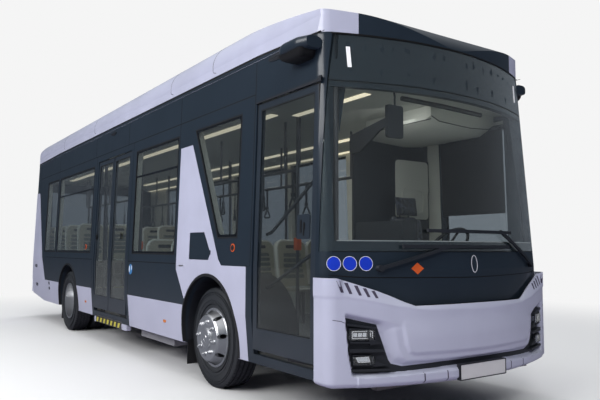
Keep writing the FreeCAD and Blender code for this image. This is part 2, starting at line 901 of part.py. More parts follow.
def rear_lamps():
    y0, y1 = rear_lamp_y
    z0, z1 = rear_lamp_z
    layer = rear_layer(z0, z1, 0, rear_lamp_t)
    return both(layer.common(box(tail_x - overrun, wall_rear_x, y0, y1, z0, z1)))


def rear_glass():
    layer = rear_layer(rear_view_z[0], rear_view_z[1], pane_inset, pane_inset + pane_t)
    return layer.common(box(tail_x, wall_rear_x, -rear_view_half, rear_view_half,
                            rear_view_z[0], rear_view_z[1]))


def rear_bumper():
    top_z = rear_split_z - rear_skin_gap
    shell = behind(rear_block(rear_low_z, top_z, 0, tail_x).cut(
        rear_block(rear_low_z, top_z, rear_wall_t + rear_face_in, tail_x)))
    plate = box(tail_x - overrun, tail_x + rear_plate_in, -plate_half, plate_half,
                rear_plate_z[0], rear_plate_z[1])
    return shell.cut(plate)


def rear_hatch():
    layer = rear_layer(hatch_z[0], hatch_z[1], 0, hatch_t)
    panel = layer.common(box(tail_x, wall_rear_x, -hatch_half, hatch_half, hatch_z[0], hatch_z[1]))
    x, z = hatch_axis()
    reach = hatch_barrel_half + hatch_bracket_w
    rooms = []
    for y0, y1 in ((-reach, -hatch_barrel_half), (hatch_barrel_half, reach)):
        rooms += both(cross_rod(x, z, hatch_hinge_y + y0 - run_gap, hatch_hinge_y + y1 + run_gap,
                                hatch_barrel_r + run_gap))
    lugs = both(box(x, x + hatch_t, hatch_hinge_y - hatch_barrel_half,
                    hatch_hinge_y + hatch_barrel_half, z - hatch_barrel_r, z - run_gap / 2))
    bores = both(cross_rod(x, z, hatch_hinge_y - reach, hatch_hinge_y + reach,
                           hatch_pin_r + fit_gap))
    return less(joined([less(panel, rooms)] + lugs + hatch_barrels(0, 0)), bores)


# Roof

def roof_face(inset):
    """Half-round section of the roof in the YZ plane."""
    rim_y = half_width - wall_lean
    side_share = (rim_y - inset) / rim_y
    rise_share = (roof_z - roof_line_z - inset) / (roof_z - roof_line_z)

    def at(point, side):
        y, z = point
        return vec(tail_x, side * y * side_share, roof_line_z + (z - roof_line_z) * rise_share)

    rim = (rim_y, roof_line_z)
    crown = (0, roof_z)
    edges = [Part.makeLine(at(rim, -1), at(cove_low, -1)),
             Part.Arc(at(cove_low, -1), at(cove_mid, -1), at(cove_top, -1)).toShape(),
             Part.Arc(at(cove_top, -1), at(crown, 1), at(cove_top, 1)).toShape(),
             Part.Arc(at(cove_top, 1), at(cove_mid, 1), at(cove_low, 1)).toShape(),
             Part.makeLine(at(cove_low, 1), at(rim, 1)),
             Part.makeLine(at(rim, 1), at(rim, -1))]
    return Part.Face(Part.Wire(edges))


def roof_end_cutter(face_x, bends, run):
    """Takes the corner off one end of the roof along two arcs seen from the side."""
    way = 1 if face_x > 0 else -1
    side_y = half_width + overrun

    def at(back, up):
        return vec(face_x - way * back, -side_y, roof_line_z + up)

    rise = roof_z - roof_line_z
    top = rise + overrun
    round_mid, shoulder, slope_mid = [at(back, up) for back, up in bends]
    edges = [Part.Arc(at(0, 0), round_mid, shoulder).toShape(),
             Part.Arc(shoulder, slope_mid, at(run, rise)).toShape(),
             Part.makeLine(at(run, rise), at(run, top)),
             Part.makeLine(at(run, top), at(-run, top)),
             Part.makeLine(at(-run, top), at(-run, 0)),
             Part.makeLine(at(-run, 0), at(0, 0))]
    return Part.Face(Part.Wire(edges)).extrude(vec(0, 2 * side_y, 0))


def roof_block(inset):
    """The roof with its corners in plan, and with square ends seen from the side."""
    height = vec(0, 0, roof_z - roof_line_z + overrun)
    half = wall_y(roof_line_z)
    front_x = front_face_at(roof_line_z)
    front = Part.Face(plan_wire(front_x, half, front_arc_r, front_corner_r, roof_line_z, inset))
    rear = Part.Face(plan_wire(rear_face_x, half, rear_arc_r, rear_corner_r, roof_line_z, inset))
    block = roof_face(inset).extrude(vec(overall_length, 0, 0))
    return block.common(front.extrude(height)).common(rear.extrude(height))


def roof_room():
    """The hollow under the roof, which slopes down at both ends."""
    front_x = front_face_at(roof_line_z)
    low_z = roof_line_z - roof_t
    tail = [(rear_face_x + roof_t + back, low_z + up) for back, up in roof_tail_bends[1:]]
    nose = [(front_x - roof_t - back, low_z + up) for back, up in roof_nose_bends[1:]]
    outline = [(rear_face_x + roof_t, roof_line_z)] + tail
    outline += [(rear_face_x + roof_t + roof_tail_run, roof_z), (front_x - roof_t - roof_nose_run, roof_z)]
    outline += nose[::-1] + [(front_x - roof_t, roof_line_z)]
    return roof_block(roof_t).common(along_y(outline, -half_width, half_width))


def roof_pieces():
    """The lilac roof and the dark dome let into its front."""
    front_x = front_face_at(roof_line_z)
    solid = less(roof_block(0), [roof_end_cutter(front_x, roof_nose_bends, roof_nose_run),
                                 roof_end_cutter(rear_face_x, roof_tail_bends, roof_tail_run)])
    shell = solid.cut(roof_room())
    dome_box = box(dome_rear_x, nose_x, -dome_half, dome_half, roof_line_z, roof_z + overrun)
    return shell.cut(dome_box), shell.common(dome_box)


def roof_lining():
    return body_block(lining_z, lining_z + lining_t, wall_t + seat_gap)


def ceiling_lights():
    strip = box(rail_line_x[0], rail_line_x[1], light_y - light_half_w, light_y + light_half_w,
                lining_z - light_h, lining_z)
    return both(strip)


# Floor, frame and liners

def wheel_wells(grow):
    """Room for the wheels in the floor, on both sides."""
    wells = []
    for x, inside_y in ((front_axle_x, front_liner_in_y), (rear_axle_x, rear_liner_in_y)):
        wells += both(cross_rod(x, tyre_r, inside_y, half_width + overrun, arch_r + grow))
    return wells


def floor_deck():
    low = body_block(floor_z - floor_t, floor_z, wall_t + seat_gap)
    low = low.common(box(platform_x, nose_x, -half_width, half_width, floor_z - floor_t, floor_z))
    high = body_block(platform_z - floor_t, platform_z, wall_t + seat_gap)
    high = high.common(box(tail_x, platform_x, -half_width, half_width, 0, platform_z))
    side_y = inner_y(platform_z) - seat_gap
    riser = box(platform_x - floor_t, platform_x, -side_y, side_y, floor_z - floor_t, platform_z)
    return less(joined([low, riser, high, driver_floor()]), wheel_wells(liner_t))


def liner(axle_x, inside_y):
    """Half-round liner over a wheel, closed on its inner side, with its mud flap."""
    outside_y = inner_y(skirt_top_z)
    shell = cross_rod(axle_x, tyre_r, inside_y, outside_y, arch_r + liner_t)
    room = cross_rod(axle_x, tyre_r, inside_y + liner_t, outside_y + overrun, arch_r)
    below = box(axle_x - arch_r - overrun, axle_x + arch_r + overrun, inside_y - overrun,
                outside_y + overrun, -arch_r, floor_z - floor_t)
    return shell.cut(room).cut(below)


def mud_flap(axle_x, tyre_y):
    back_x = axle_x - arch_r - mud_flap_t
    outside_y = min(tyre_y + flap_half_w, inner_y(skirt_z) - run_gap)
    return box(back_x, back_x + mud_flap_t, tyre_y - flap_half_w, outside_y,
               mud_flap_low_z, floor_z - floor_t)


def wheel_arches():
    front = liner(front_axle_x, front_liner_in_y)
    rear = liner(rear_axle_x, rear_liner_in_y)
    room_r = axle_tube_r + run_gap
    y0, y1 = rear_liner_in_y - overrun, rear_liner_in_y + overrun
    slot = [cross_rod(rear_axle_x, tyre_r, y0, y1, room_r),
            box(rear_axle_x - room_r, rear_axle_x + room_r, y0, y1, 0, tyre_r)]
    return both(front) + both(less(rear, slot))


def mud_flaps():
    return both(mud_flap(front_axle_x, front_y)) + both(mud_flap(rear_axle_x, rear_y))


def underframe():
    top = floor_z - floor_t
    y0, y1 = rail_y
    rear_top = platform_z - floor_t
    step_x = platform_x - floor_t
    front = both(box(step_x + seat_gap, front_rail_end_x, y0, y1, top - rail_h, top))
    rear = both(box(wall_rear_x, step_x, y0, y1, rear_rail_z, rear_top))
    rear += both(box(step_x - cross_w, step_x, y0, y1, top - rail_h, rear_top))
    for x in cross_xs:
        front.append(box(x, x + cross_w, -y1, y1, top - rail_h, top))
    for x in (wall_rear_x, rear_axle_x - arch_r):
        rear.append(box(x, x + cross_w, -y1, y1, rear_rail_z, rear_top))
    front += both(box(front_rail_end_x - cross_w, bumper_beam[1], y0, y1, top - rail_h, top))
    x0, x1, half = bumper_beam
    front.append(box(x0, x1, -half, half, top - rail_h, top))
    front += jacking_pads(front_jack_x, top - rail_h)
    rear += jacking_pads(rear_jack_x, rear_rail_z)
    return [joined(front), joined(rear)]


def jacking_pads(x, z):
    """Thick plates under the rails on which a garage jack is set."""
    return both(box(x - jack_pad_half, x + jack_pad_half, rail_y[0], rail_y[1], z - jack_pad_t, z))


def battery_trays():
    top = floor_z - floor_t
    return both(box(tray_x[0], tray_x[1], tray_in_y, tray_out_y, tray_low_z, top))


def ramp_cassette():
    """Flat case under the floor, open towards the door side."""
    inside_y = ramp_face_y - ramp_cap_t - ramp_len
    z0, z1 = ramp_z, ramp_z + ramp_t
    outer = box(ramp_x[0] - run_gap - cassette_t, ramp_x[1] + run_gap + cassette_t,
                inside_y - run_gap - cassette_t, inner_y(skirt_z) - seat_gap,
                z0 - seat_gap - cassette_t, floor_z - floor_t)
    room = box(ramp_x[0] - run_gap, ramp_x[1] + run_gap, inside_y - run_gap, half_width,
               z0 - seat_gap, z1 + run_gap)
    return mirrored(outer.cut(room))


def ramp():
    y1 = ramp_face_y - ramp_cap_t
    plate = box(ramp_x[0], ramp_x[1], y1 - ramp_len, y1, ramp_z, ramp_z + ramp_t)
    cap = box(ramp_x[0], ramp_x[1], y1, ramp_face_y, ramp_cap_z[0], ramp_cap_z[1])
    return mirrored(joined([plate, cap]))


# Wheels and axles

def revolved(profile, x, y, side):
    """Turns (radius, offset along Y) points about a wheel's axis; offset points outward."""
    points = [vec(x, y + side * out, tyre_r + radius) for radius, out in profile]
    return polygon(points).revolve(vec(x, y, tyre_r), vec(0, 1, 0), 360)


def tyre(x, y, side):
    half = tyre_w / 2
    seat_r = bead_r + flange_lip + seat_gap
    profile = [(seat_r, -half * bead_share), (bead_r, -half * bead_share),
               (bead_r, half * bead_share), (seat_r, half * bead_share),
               (bead_r + (tyre_r - bead_r) * bulge_share, half),
               (tyre_r - shoulder_drop * 2, half * shoulder_share),
               (tyre_r - shoulder_drop / 2, half * tread_share)]
    for place in reversed(groove_places):
        profile += [(tyre_r, place + groove_w / 2), (tyre_r - groove_depth, place + groove_w / 2),
                    (tyre_r - groove_depth, place - groove_w / 2), (tyre_r, place - groove_w / 2)]
    profile += [(tyre_r - shoulder_drop / 2, -half * tread_share),
                (tyre_r - shoulder_drop * 2, -half * shoulder_share),
                (bead_r + (tyre_r - bead_r) * bulge_share, -half)]
    return revolved(profile, x, y, side)


def barrel(x, y, side):
    """Barrel of a rim with a lip at each edge, under the tyre's beads."""
    half = rim_w / 2
    outer_r = bead_r - seat_gap
    inner_r = outer_r - rim_wall
    profile = [(inner_r, -half), (outer_r, -half), (outer_r, half), (inner_r, half)]
    lip = tyre_w / 2 * bead_share + seat_gap
    lips = [[(inner_r, sign * lip), (outer_r + flange_lip, sign * lip),
             (outer_r + flange_lip, sign * (lip + rim_wall / 2)),
             (inner_r, sign * (lip + rim_wall / 2))] for sign in (-1, 1)]
    return [revolved(profile, x, y, side)] + [revolved(p, x, y, side) for p in lips]


def disc(x, y, side, face_out, rim_out):
    """Dished disc from the hub's face to the barrel."""
    rim_r = bead_r - seat_gap - rim_wall / 2
    profile = [(spindle_r + fit_gap, face_out - disc_t * 2), (spindle_r + fit_gap, face_out),
               (hub_flange_r, face_out), (hub_flange_r + disc_t, face_out - disc_t),
               (rim_r, rim_out), (rim_r, rim_out - disc_t),
               (hub_flange_r, face_out - disc_t * 2)]
    return revolved(profile, x, y, side)


def ring_points(x, y, radius, count, turn):
    step = 2 * math.pi / count
    angles = [turn + i * step for i in range(count)]
    return [vec(x + radius * math.cos(a), y, tyre_r + radius * math.sin(a)) for a in angles]


def hub_details(x, y, side, face_out):
    """Wheel nuts and the hub cap on the disc's face."""
    face_y = y + side * face_out
    pieces = []
    for centre in ring_points(x, face_y, nut_circle_r, nut_count, nut_turn):
        pieces.append(rod(centre, centre + vec(0, side * nut_h, 0), nut_r))
    centre = vec(x, face_y - side * disc_t, tyre_r)
    pieces.append(rod(centre, centre + vec(0, side * (disc_t + hub_cap_h), 0), hub_cap_r))
    return pieces


def hand_holes(x, y, side):
    holes = []
    for centre in ring_points(x, y, hand_hole_circle_r, nut_count, hand_hole_turn):
        holes.append(rod(centre - vec(0, side * tyre_w, 0), centre + vec(0, side * tyre_w, 0),
                         hand_hole_r))
    return holes


def front_rim(side):
    x, y = front_axle_x, side * front_y
    face_out = tyre_w / 2 + hub_face_out
    pieces = barrel(x, y, side) + [disc(x, y, side, face_out, rim_w / 2 - disc_t)]
    shell = less(joined(pieces), hand_holes(x, y, side))
    return joined([shell] + hub_details(x, y, side, face_out))


def rear_rim(side):
    """The two rims of a twin wheel, bolted face to face."""
    x, y = rear_axle_x, side * rear_y
    twin_y = y - side * twin_pitch
    face_out = -twin_pitch / 2 + disc_t * 2
    pieces = barrel(x, y, side) + [disc(x, y, side, face_out, -rim_w / 2 * disc_share)]
    shell = less(joined(pieces), hand_holes(x, y, side))
    inner = revolved([(spindle_r + fit_gap, -twin_pitch / 2 - disc_t),
                      (spindle_r + fit_gap, -twin_pitch / 2 + disc_t),
                      (hub_flange_r, -twin_pitch / 2 + disc_t),
                      (bead_r - seat_gap - rim_wall / 2, -twin_pitch + rim_w / 2),
                      (bead_r - seat_gap - rim_wall / 2, -twin_pitch + rim_w / 2 - disc_t),
                      (hub_flange_r, -twin_pitch / 2 - disc_t)], x, y, side)
    pieces = [shell, inner] + barrel(x, twin_y, side) + hub_details(x, y, side, face_out)
    return joined(pieces)


def front_tyre(side):
    return tyre(front_axle_x, side * front_y, side)


def rear_tyres(side):
    y = side * rear_y
    return [tyre(rear_axle_x, y, side), tyre(rear_axle_x, y - side * twin_pitch, side)]


def front_axle():
    """Dropped beam with a fist at each end for the kingpins, and its air springs."""
    x = front_axle_x
    half = fist_half_x
    z0, z1 = beam_z
    beam = box(x - half, x + half, -beam_half_y, beam_half_y, z0, z1)
    low, high = tyre_r - fist_half_h, tyre_r + fist_half_h
    fist_in = kingpin_y - fist_reach
    bent = along_x([(beam_half_y - (z1 - z0), z0), (beam_half_y, z0), (fist_in, low), (kingpin_y, low),
                    (kingpin_y, high), (fist_in, high), (beam_half_y - (z1 - z0), z1)],
                   x - half, x + half)
    eye = post(x, kingpin_y, low, high, half)
    spring = post(x, spring_y, z1, floor_z - floor_t, spring_r)
    body = joined([beam] + both(bent) + both(eye) + both(spring))
    return less(body, both(post(x, kingpin_y, 0, roof_z, kingpin_r + fit_gap)))


def knuckle(side):
    """Fork over the axle's fist, with the kingpin and the wheel's spindle."""
    x, y = front_axle_x, kingpin_y
    z0 = tyre_r + fist_half_h + run_gap
    gap = fist_half_x + run_gap
    plate_t = fork_t
    arms = [box(x - fork_half_x, x + fork_half_x, y - gap, y + gap + plate_t, z0, z0 + fork_t),
            box(x - fork_half_x, x + fork_half_x, y - gap, y + gap + plate_t,
                2 * tyre_r - z0 - fork_t, 2 * tyre_r - z0)]
    plate = box(x - fork_half_x, x + fork_half_x, y + gap + run_gap, y + gap + plate_t,
                2 * tyre_r - z0 - fork_t, z0 + fork_t)
    pin = post(x, y, 2 * tyre_r - z0 - fork_t, z0 + fork_t, kingpin_r)
    spindle = cross_rod(x, tyre_r, y + gap + plate_t / 2, front_y + tyre_w / 2 + hub_face_out
                        - disc_t - seat_gap, spindle_r)
    body = joined(arms + [plate, pin, spindle])
    return body if side > 0 else mirrored(body)


def rear_axle():
    """Drive axle: tube, round housing in the middle, a spindle at each end, air springs."""
    x = rear_axle_x
    inside = rear_liner_in_y - run_gap
    tube = cross_rod(x, tyre_r, -inside, inside, axle_tube_r)
    bulge = cross_rod(x, tyre_r, -axle_bulge_half, axle_bulge_half, axle_bulge_r)
    tip = rear_y - twin_pitch / 2 + disc_t * 2 - disc_t - seat_gap
    spindle = cross_rod(x, tyre_r, -tip, tip, spindle_r)
    springs = both(post(x, (rail_y[0] + rail_y[1]) / 2, tyre_r, rear_rail_z, spring_r))
    return joined([tube, bulge, spindle] + springs)


# Cabin

def seat_places():
    """Each seat's X, Y, floor height and the way that it faces."""
    wall_side = inner_y(platform_z) - seat_wall_gap - seat_w / 2
    aisle_side = wall_side - seat_w - seat_gap_y
    places = [(x, y, floor_z) for x in low_rows_left for y in (wall_side, aisle_side)]
    places += [(x, -y, floor_z) for x in low_rows_right for y in (wall_side, aisle_side)]
    for x in high_rows:
        places += [(x, side * y, platform_z) for side in (-1, 1) for y in (wall_side, aisle_side)]
    places += [(bench_x, side * y, platform_z) for side in (-1, 1) for y in (wall_side, aisle_side)]
    return places + [(bench_x, 0.0, platform_z)]


def seat_pan(x, y, base_z):
    top = base_z + seat_pan_h
    half = seat_w / 2
    front_x = x + seat_pan_d
    outline = [(x, top - seat_pan_t), (front_x - seat_pan_t, top - seat_pan_t),
               (front_x, top - seat_pan_t / 2), (front_x, top), (x, top)]
    return along_y(outline, y - half, y + half)


def seat_back(x, y, base_z):
    low = base_z + seat_pan_h
    half = seat_w / 2
    outline = [(x, low), (x + seat_back_t, low), (x + seat_back_t - seat_back_rake, low + seat_back_h),
               (x - seat_back_rake, low + seat_back_h)]
    slab = along_y(outline, y - half, y + half)
    trim = half * back_trim_share
    high = low + seat_back_h
    corners = []
    for side in (-1, 1):
        edge = y + side * half
        outer = edge + side * overrun
        corners.append(along_x([(outer, high + overrun), (outer, high - trim),
                                (edge, high - trim), (edge - side * trim, high),
                                (edge - side * trim, high + overrun)], x - seat_w, x + seat_w))
    return less(slab, corners)


def seat_foot(x, y, base_z):
    foot = post(x + seat_pan_d / 2, y, base_z, base_z + seat_pan_h - seat_pan_t, seat_foot_r)
    return less(foot, wheel_wells(liner_t + seat_gap))


def driver_floor():
    return box(driver_floor_rear_x, driver_floor_front_x, cab_aisle_y, inner_y(floor_z),
               floor_z, driver_floor_z)


def driver_seat():
    base_z = driver_floor_z
    x, y = driver_x, driver_y
    foot = box(x + seat_pan_d / 4, x + seat_pan_d * 3 / 4, y - seat_w / 4, y + seat_w / 4,
               base_z, base_z + seat_pan_h - seat_pan_t)
    return [seat_pan(x, y, base_z), seat_back(x, y, base_z), foot]


def driver_partition():
    """Wall behind the driver, and the fixed piece ahead of the cab door."""
    x0 = driver_floor_rear_x - partition_t
    wall = box(x0, driver_floor_rear_x, cab_aisle_y, inner_y(partition_top_z), floor_z, partition_top_z)
    leg = box(cab_door_x[1] + run_gap, driver_floor_front_x, cab_aisle_y - partition_t, cab_aisle_y,
              floor_z, cab_door_z[1])
    sill = box(driver_floor_rear_x, driver_floor_front_x, cab_aisle_y - partition_t, cab_aisle_y,
               floor_z, driver_floor_z)
    x, y = cab_door_axis()
    bore = post(x, y, driver_floor_z - cab_pin_depth - run_gap, driver_floor_z, cab_pin_r + fit_gap)
    return joined([wall, leg, sill]).cut(bore)


def cab_door_axis():
    return cab_door_x[1] - cab_door_post_r, cab_aisle_y - partition_t / 2


def cab_door():
    x, y = cab_door_axis()
    half = partition_t / 2
    panel = box(cab_door_x[0], x, y - half, y + half, cab_door_z[0], cab_door_z[1])
    tube = post(x, y, driver_floor_z + seat_gap, cab_door_z[1], cab_door_post_r)
    pin = post(x, y, driver_floor_z - cab_pin_depth, cab_door_z[1], cab_pin_r)
    return joined([panel, tube, pin])


def dashboard():
    """Dash across the driver's place with a cowl for the dials and the steering column."""
    body = front_block(dash_low_z, dash_top_z, mask_t + run_gap)
    body = body.common(box(dash_rear_x, nose_x, dash_right_y, dash_left_y, dash_low_z, dash_top_z))
    slope = along_y([(dash_rear_x - overrun, dash_top_z + overrun), (dash_rear_x - overrun, dash_low_z
                     + (dash_top_z - dash_low_z) / 2), (dash_rear_x, dash_low_z
                     + (dash_top_z - dash_low_z) / 2), (dash_rear_x + dash_slope, dash_top_z),
                     (dash_rear_x + dash_slope, dash_top_z + overrun)], -half_width, half_width)
    foot = box(dash_rear_x + dash_slope, dash_rear_x + 2 * dash_slope, dash_right_y + dash_slope,
               dash_left_y - dash_slope, floor_z, dash_low_z)
    axis = column_axis()
    base = vec(column_foot[0], driver_y, column_foot[1])
    tip = vec(wheel_centre[0], driver_y, wheel_centre[1]) - axis * (steering_boss / 2 + seat_gap)
    return joined([body.cut(slope), foot, rod(base, tip, column_r)])


def column_axis():
    axis = vec(wheel_centre[0] - column_foot[0], 0, wheel_centre[1] - column_foot[1])
    return axis.normalize()


def steering_wheel():
    axis = column_axis()
    centre = vec(wheel_centre[0], driver_y, wheel_centre[1])
    rim = Part.makeTorus(steering_wheel_r, steering_rim_r, centre, axis)
    hub = rod(centre - axis * steering_boss / 2, centre + axis * steering_boss / 2, steering_hub_r)
    spokes = []
    across = vec(0, 1, 0)
    upward = axis.cross(across)
    for way in (across, -across, -upward):
        spokes.append(rod(centre, centre + way * steering_wheel_r, steering_rim_r * spoke_share))
    return joined([rim, hub] + spokes)


def rails():
    pieces = []
    for side in (-1, 1):
        spans = [rail_line_x]
        if side < 0:
            spans = [(rail_line_x[0], rail_break_x[0]), (rail_break_x[1], rail_line_x[1])]
        for x0, x1 in spans:
            line = [vec(x0, side * rail_line_y, lining_z), vec(x0, side * rail_line_y, rail_line_z),
                    vec(x1, side * rail_line_y, rail_line_z), vec(x1, side * rail_line_y, lining_z)]
            droppers = [post(x, side * rail_line_y, rail_line_z, lining_z, pole_r * spoke_share)
                        for x in dropper_xs if x0 < x < x1]
            pieces.append(joined([bent_tube(line, pole_r, rail_bend)] + droppers))
    return pieces


def bent_tube(points, radius, bend_r):
    """Tube along straight runs with rounded bends between them."""
    edges = []
    start = points[0]
    for i in range(1, len(points) - 1):
        before = (points[i - 1] - points[i]).normalize()
        after = (points[i + 1] - points[i]).normalize()
        enter = points[i] + before * bend_r
        leave = points[i] + after * bend_r
        centre = enter + after * bend_r
        middle = centre + (points[i] - centre).normalize() * bend_r
        edges += [Part.makeLine(start, enter), Part.Arc(enter, middle, leave).toShape()]
        start = leave
    edges.append(Part.makeLine(start, points[-1]))
    circle = Part.Wire([Part.makeCircle(radius, points[0], points[1] - points[0])])
    return Part.Wire(edges).makePipeShell([circle], True, False)


def poles():
    low = [post(x, y, floor_z, lining_z, pole_r) for x, y in low_poles]
    return low + [post(x, y, platform_z, lining_z, pole_r) for x, y in high_poles]


# Small things outside

def pod():
    y0 = wall_y(pod_z[1])
    body = box(pod_x[0], pod_x[1], y0 - overrun, y0 + pod_reach, pod_z[0], pod_z[1])
    body = body.makeFillet(pod_round, [edge for edge in body.Edges if far_edge(edge, y0)])
    return body.cut(body_block(belt_z, roof_line_z, -seat_gap))


def far_edge(edge, y0):
    return edge.CenterOfMass.y > y0 + run_gap


def band(start, end, half):
    """Outline of a straight bar between two points of the front view."""
    run = math.hypot(end[0] - start[0], end[1] - start[1])
    off_y = half * (start[1] - end[1]) / run
    off_z = half * (end[0] - start[0]) / run
    return [(start[0] + off_y, start[1] + off_z), (end[0] + off_y, end[1] + off_z),
            (end[0] - off_y, end[1] - off_z), (start[0] - off_y, start[1] - off_z)]


def wiper(pivot, elbow, blade):
    """Wiper with its hub at the outer end, its arm and its level blade."""
    y0, y1, blade_z = blade
    low, high = pivot[1] - wiper_hub_r, blade_z + wiper_hub_r
    layer = front_layer(low, high, -wiper_stand - wiper_t, -wiper_stand)
    arm = layer.common(view_from_front(band(pivot, elbow, wiper_half_w)))
    rubber = layer.common(view_from_front(band((y0, blade_z), (y1, blade_z), wiper_half_w)))
    hub = rod(vec(0, pivot[0], pivot[1]), vec(nose_x, pivot[0], pivot[1]), wiper_hub_r)
    hub = hub.common(front_layer(low - overrun, high, -wiper_stand - wiper_t, -seat_gap))
    return joined([arm, rubber, hub])


def heavy_blocks():
    battery = box(battery_x[0], battery_x[1], -battery_half, battery_half,
                  lining_z + lining_t, battery_top_z)
    motor = box(motor_x[0], motor_x[1], -motor_half, motor_half, motor_low_z, rear_rail_z)
    return battery, motor


def main():
    os.makedirs("parts", exist_ok=True)
    save("wall_right", [mirrored(side_wall(True))])
    save("wall_left", [side_wall(False)])
    save("lilac_panels", [mirrored(panel) for panel in side_panels(True)] + side_panels(False))
    save("side_windows", [mirrored(pane) for pane in side_panes(True)] + side_panes(False)
         + [rear_glass()])
    save("charge_flap", [mirrored(charge_flap())])
    save("front_mask", [front_mask()])
    save("windscreen", [windscreen(), destination_glass()])
    save("front_bumper", [front_bumper()])
    save("front_grille", [front_grille()])
    save("lamps", front_lamps() + rear_lamps())
    save("rear_wall", [rear_wall()])
    save("rear_bumper", [rear_bumper()])
    save("rear_hatch", [rear_hatch()])
    roof, dome = roof_pieces()
    save("roof_shell", [roof])
    save("roof_dome", [dome])
    save("roof_lining", [roof_lining()])
    save("ceiling_lights", ceiling_lights())
    save("floor_deck", [floor_deck()])
    save("underframe", underframe())
    save("wheel_arches", wheel_arches())
    save("mud_flaps", mud_flaps())
    save("ramp_cassette", [ramp_cassette()])
    save("ramp", [ramp()])
    for name, side in (("left", 1), ("right", -1)):
        save("tyre_front_" + name, [front_tyre(side)])
        save("rim_front_" + name, [front_rim(side)])
        save("knuckle_" + name, [knuckle(side)])
        save("tyre_rear_" + name, rear_tyres(side))
        save("rim_rear_" + name, [rear_rim(side)])
    save("front_axle", [front_axle()])
    save("rear_axle", [rear_axle()])
    for name, jamb_x, way, width in door_leaves():
        save(name + "_leaf", [mirrored(door_leaf(jamb_x, way, width))])
        save(name + "_glass", [mirrored(leaf_glass(jamb_x, way, width))])
        save(name + "_post", [mirrored(door_post(jamb_x, way, width))])
    places = seat_places()
    save("seat_pans", [seat_pan(*place) for place in places])
    save("seat_backs", [seat_back(*place) for place in places])
    save("seat_feet", [seat_foot(*place) for place in places])
    save("driver_seat", driver_seat())
    save("driver_partition", [driver_partition()])
    save("cab_door", [cab_door()])
    save("dashboard", [dashboard()])
    save("steering_wheel", [steering_wheel()])
    save("handrails", rails() + poles())
    save("mirror_pods", both(pod()))
    save("wipers", [wiper(*sizes) for sizes in zip(wiper_pivots, wiper_elbows, wiper_blades)])
    battery, motor = heavy_blocks()
    save("batteries", [battery] + battery_trays())
    save("motor_block", [motor])


main()
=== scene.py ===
import math

import bmesh
import bpy
from mathutils import Matrix, Vector


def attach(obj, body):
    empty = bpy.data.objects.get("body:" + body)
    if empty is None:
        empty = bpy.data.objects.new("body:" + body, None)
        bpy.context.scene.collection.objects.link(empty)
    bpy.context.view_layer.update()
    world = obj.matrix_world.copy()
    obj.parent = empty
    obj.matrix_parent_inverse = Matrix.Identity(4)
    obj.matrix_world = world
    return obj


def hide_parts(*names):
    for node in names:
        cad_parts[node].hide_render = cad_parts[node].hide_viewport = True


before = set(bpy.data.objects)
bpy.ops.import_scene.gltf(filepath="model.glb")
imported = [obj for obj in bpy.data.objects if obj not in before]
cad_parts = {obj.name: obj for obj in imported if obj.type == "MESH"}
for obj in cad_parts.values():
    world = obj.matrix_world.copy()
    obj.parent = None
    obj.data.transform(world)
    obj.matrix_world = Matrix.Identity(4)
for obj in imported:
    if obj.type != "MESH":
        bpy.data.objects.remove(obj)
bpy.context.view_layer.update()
print("stage: frame loaded")

# The body's shape that the walls, the front and the rear follow, in metres
bodyShape = {
    "halfWidth": 1.225, "skirtZ": 0.354, "skirtTopZ": 0.735, "beltZ": 1.150, "roofLineZ": 2.925,
    "tuck": 0.035, "lean": 0.055, "faceX": 4.900, "faceLean": 0.130, "faceArc": 2.700,
    "corner": 0.110, "rearX": -4.985, "rearArc": 12.0, "axleFront": 2.760, "axleRear": -2.270,
    "tyreR": 0.464,
}


def wallY(z):
    s = bodyShape
    if z < s["skirtTopZ"]:
        return s["halfWidth"] - s["tuck"] * (s["skirtTopZ"] - z) / (s["skirtTopZ"] - s["skirtZ"])
    if z < s["beltZ"]:
        return s["halfWidth"]
    return s["halfWidth"] - s["lean"] * (z - s["beltZ"]) / (s["roofLineZ"] - s["beltZ"])


def planX(y, face, half, arc, corner):
    turn = math.asin((half - corner) / (arc - corner))
    y = abs(y)
    if y <= arc * math.sin(turn):
        return face - arc + math.sqrt(arc * arc - y * y)
    off = min(y - (half - corner), corner)
    reach = math.sqrt(max(0.0, corner ** 2 - off ** 2))
    return face - arc + (arc - corner) * math.cos(turn) + reach


def faceX(y, z):
    s = bodyShape
    face = s["faceX"] - s["faceLean"] * max(0.0, z - s["beltZ"]) / (s["roofLineZ"] - s["beltZ"])
    return planX(y, face, wallY(max(z, s["skirtTopZ"])), s["faceArc"], s["corner"])


def onWall(side):
    return lambda x, z, out: Vector((x, side * (wallY(z) + out), z))


def onFront(y, z, out):
    return Vector((faceX(y, z) + out, y, z))


def onRear(y, z, out):
    s = bodyShape
    x = s["rearX"] + s["rearArc"] - math.sqrt(s["rearArc"] ** 2 - y * y)
    return Vector((x - out, y, z))


# Mesh tools

def smoothByAngle(mesh, degrees):
    mesh.shade_smooth()
    bm = bmesh.new()
    bm.from_mesh(mesh)
    limit = math.radians(degrees)
    for edge in bm.edges:
        edge.smooth = len(edge.link_faces) == 2 and edge.calc_face_angle(0.0) < limit
    bm.to_mesh(mesh)
    bm.free()


def linkedObject(name, data):
    thing = bpy.data.objects.new(name, data)
    bpy.context.scene.collection.objects.link(thing)
    return thing


def finishPiece(name, mesh, look, slot, degrees, body):
    smoothByAngle(mesh, degrees)
    mesh.materials.clear()
    mesh.materials.append(looks[look])
    piece = linkedObject(name, mesh)
    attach(piece, body)
    return piece


def pieceFromBmesh(name, bm, look, slot, degrees=30, body="bus"):
    bmesh.ops.remove_doubles(bm, verts=bm.verts, dist=0.00002)
    bmesh.ops.recalc_face_normals(bm, faces=bm.faces)
    mesh = bpy.data.meshes.new(name)
    bm.to_mesh(mesh)
    bm.free()
    return finishPiece(name, mesh, look, slot, degrees, body)


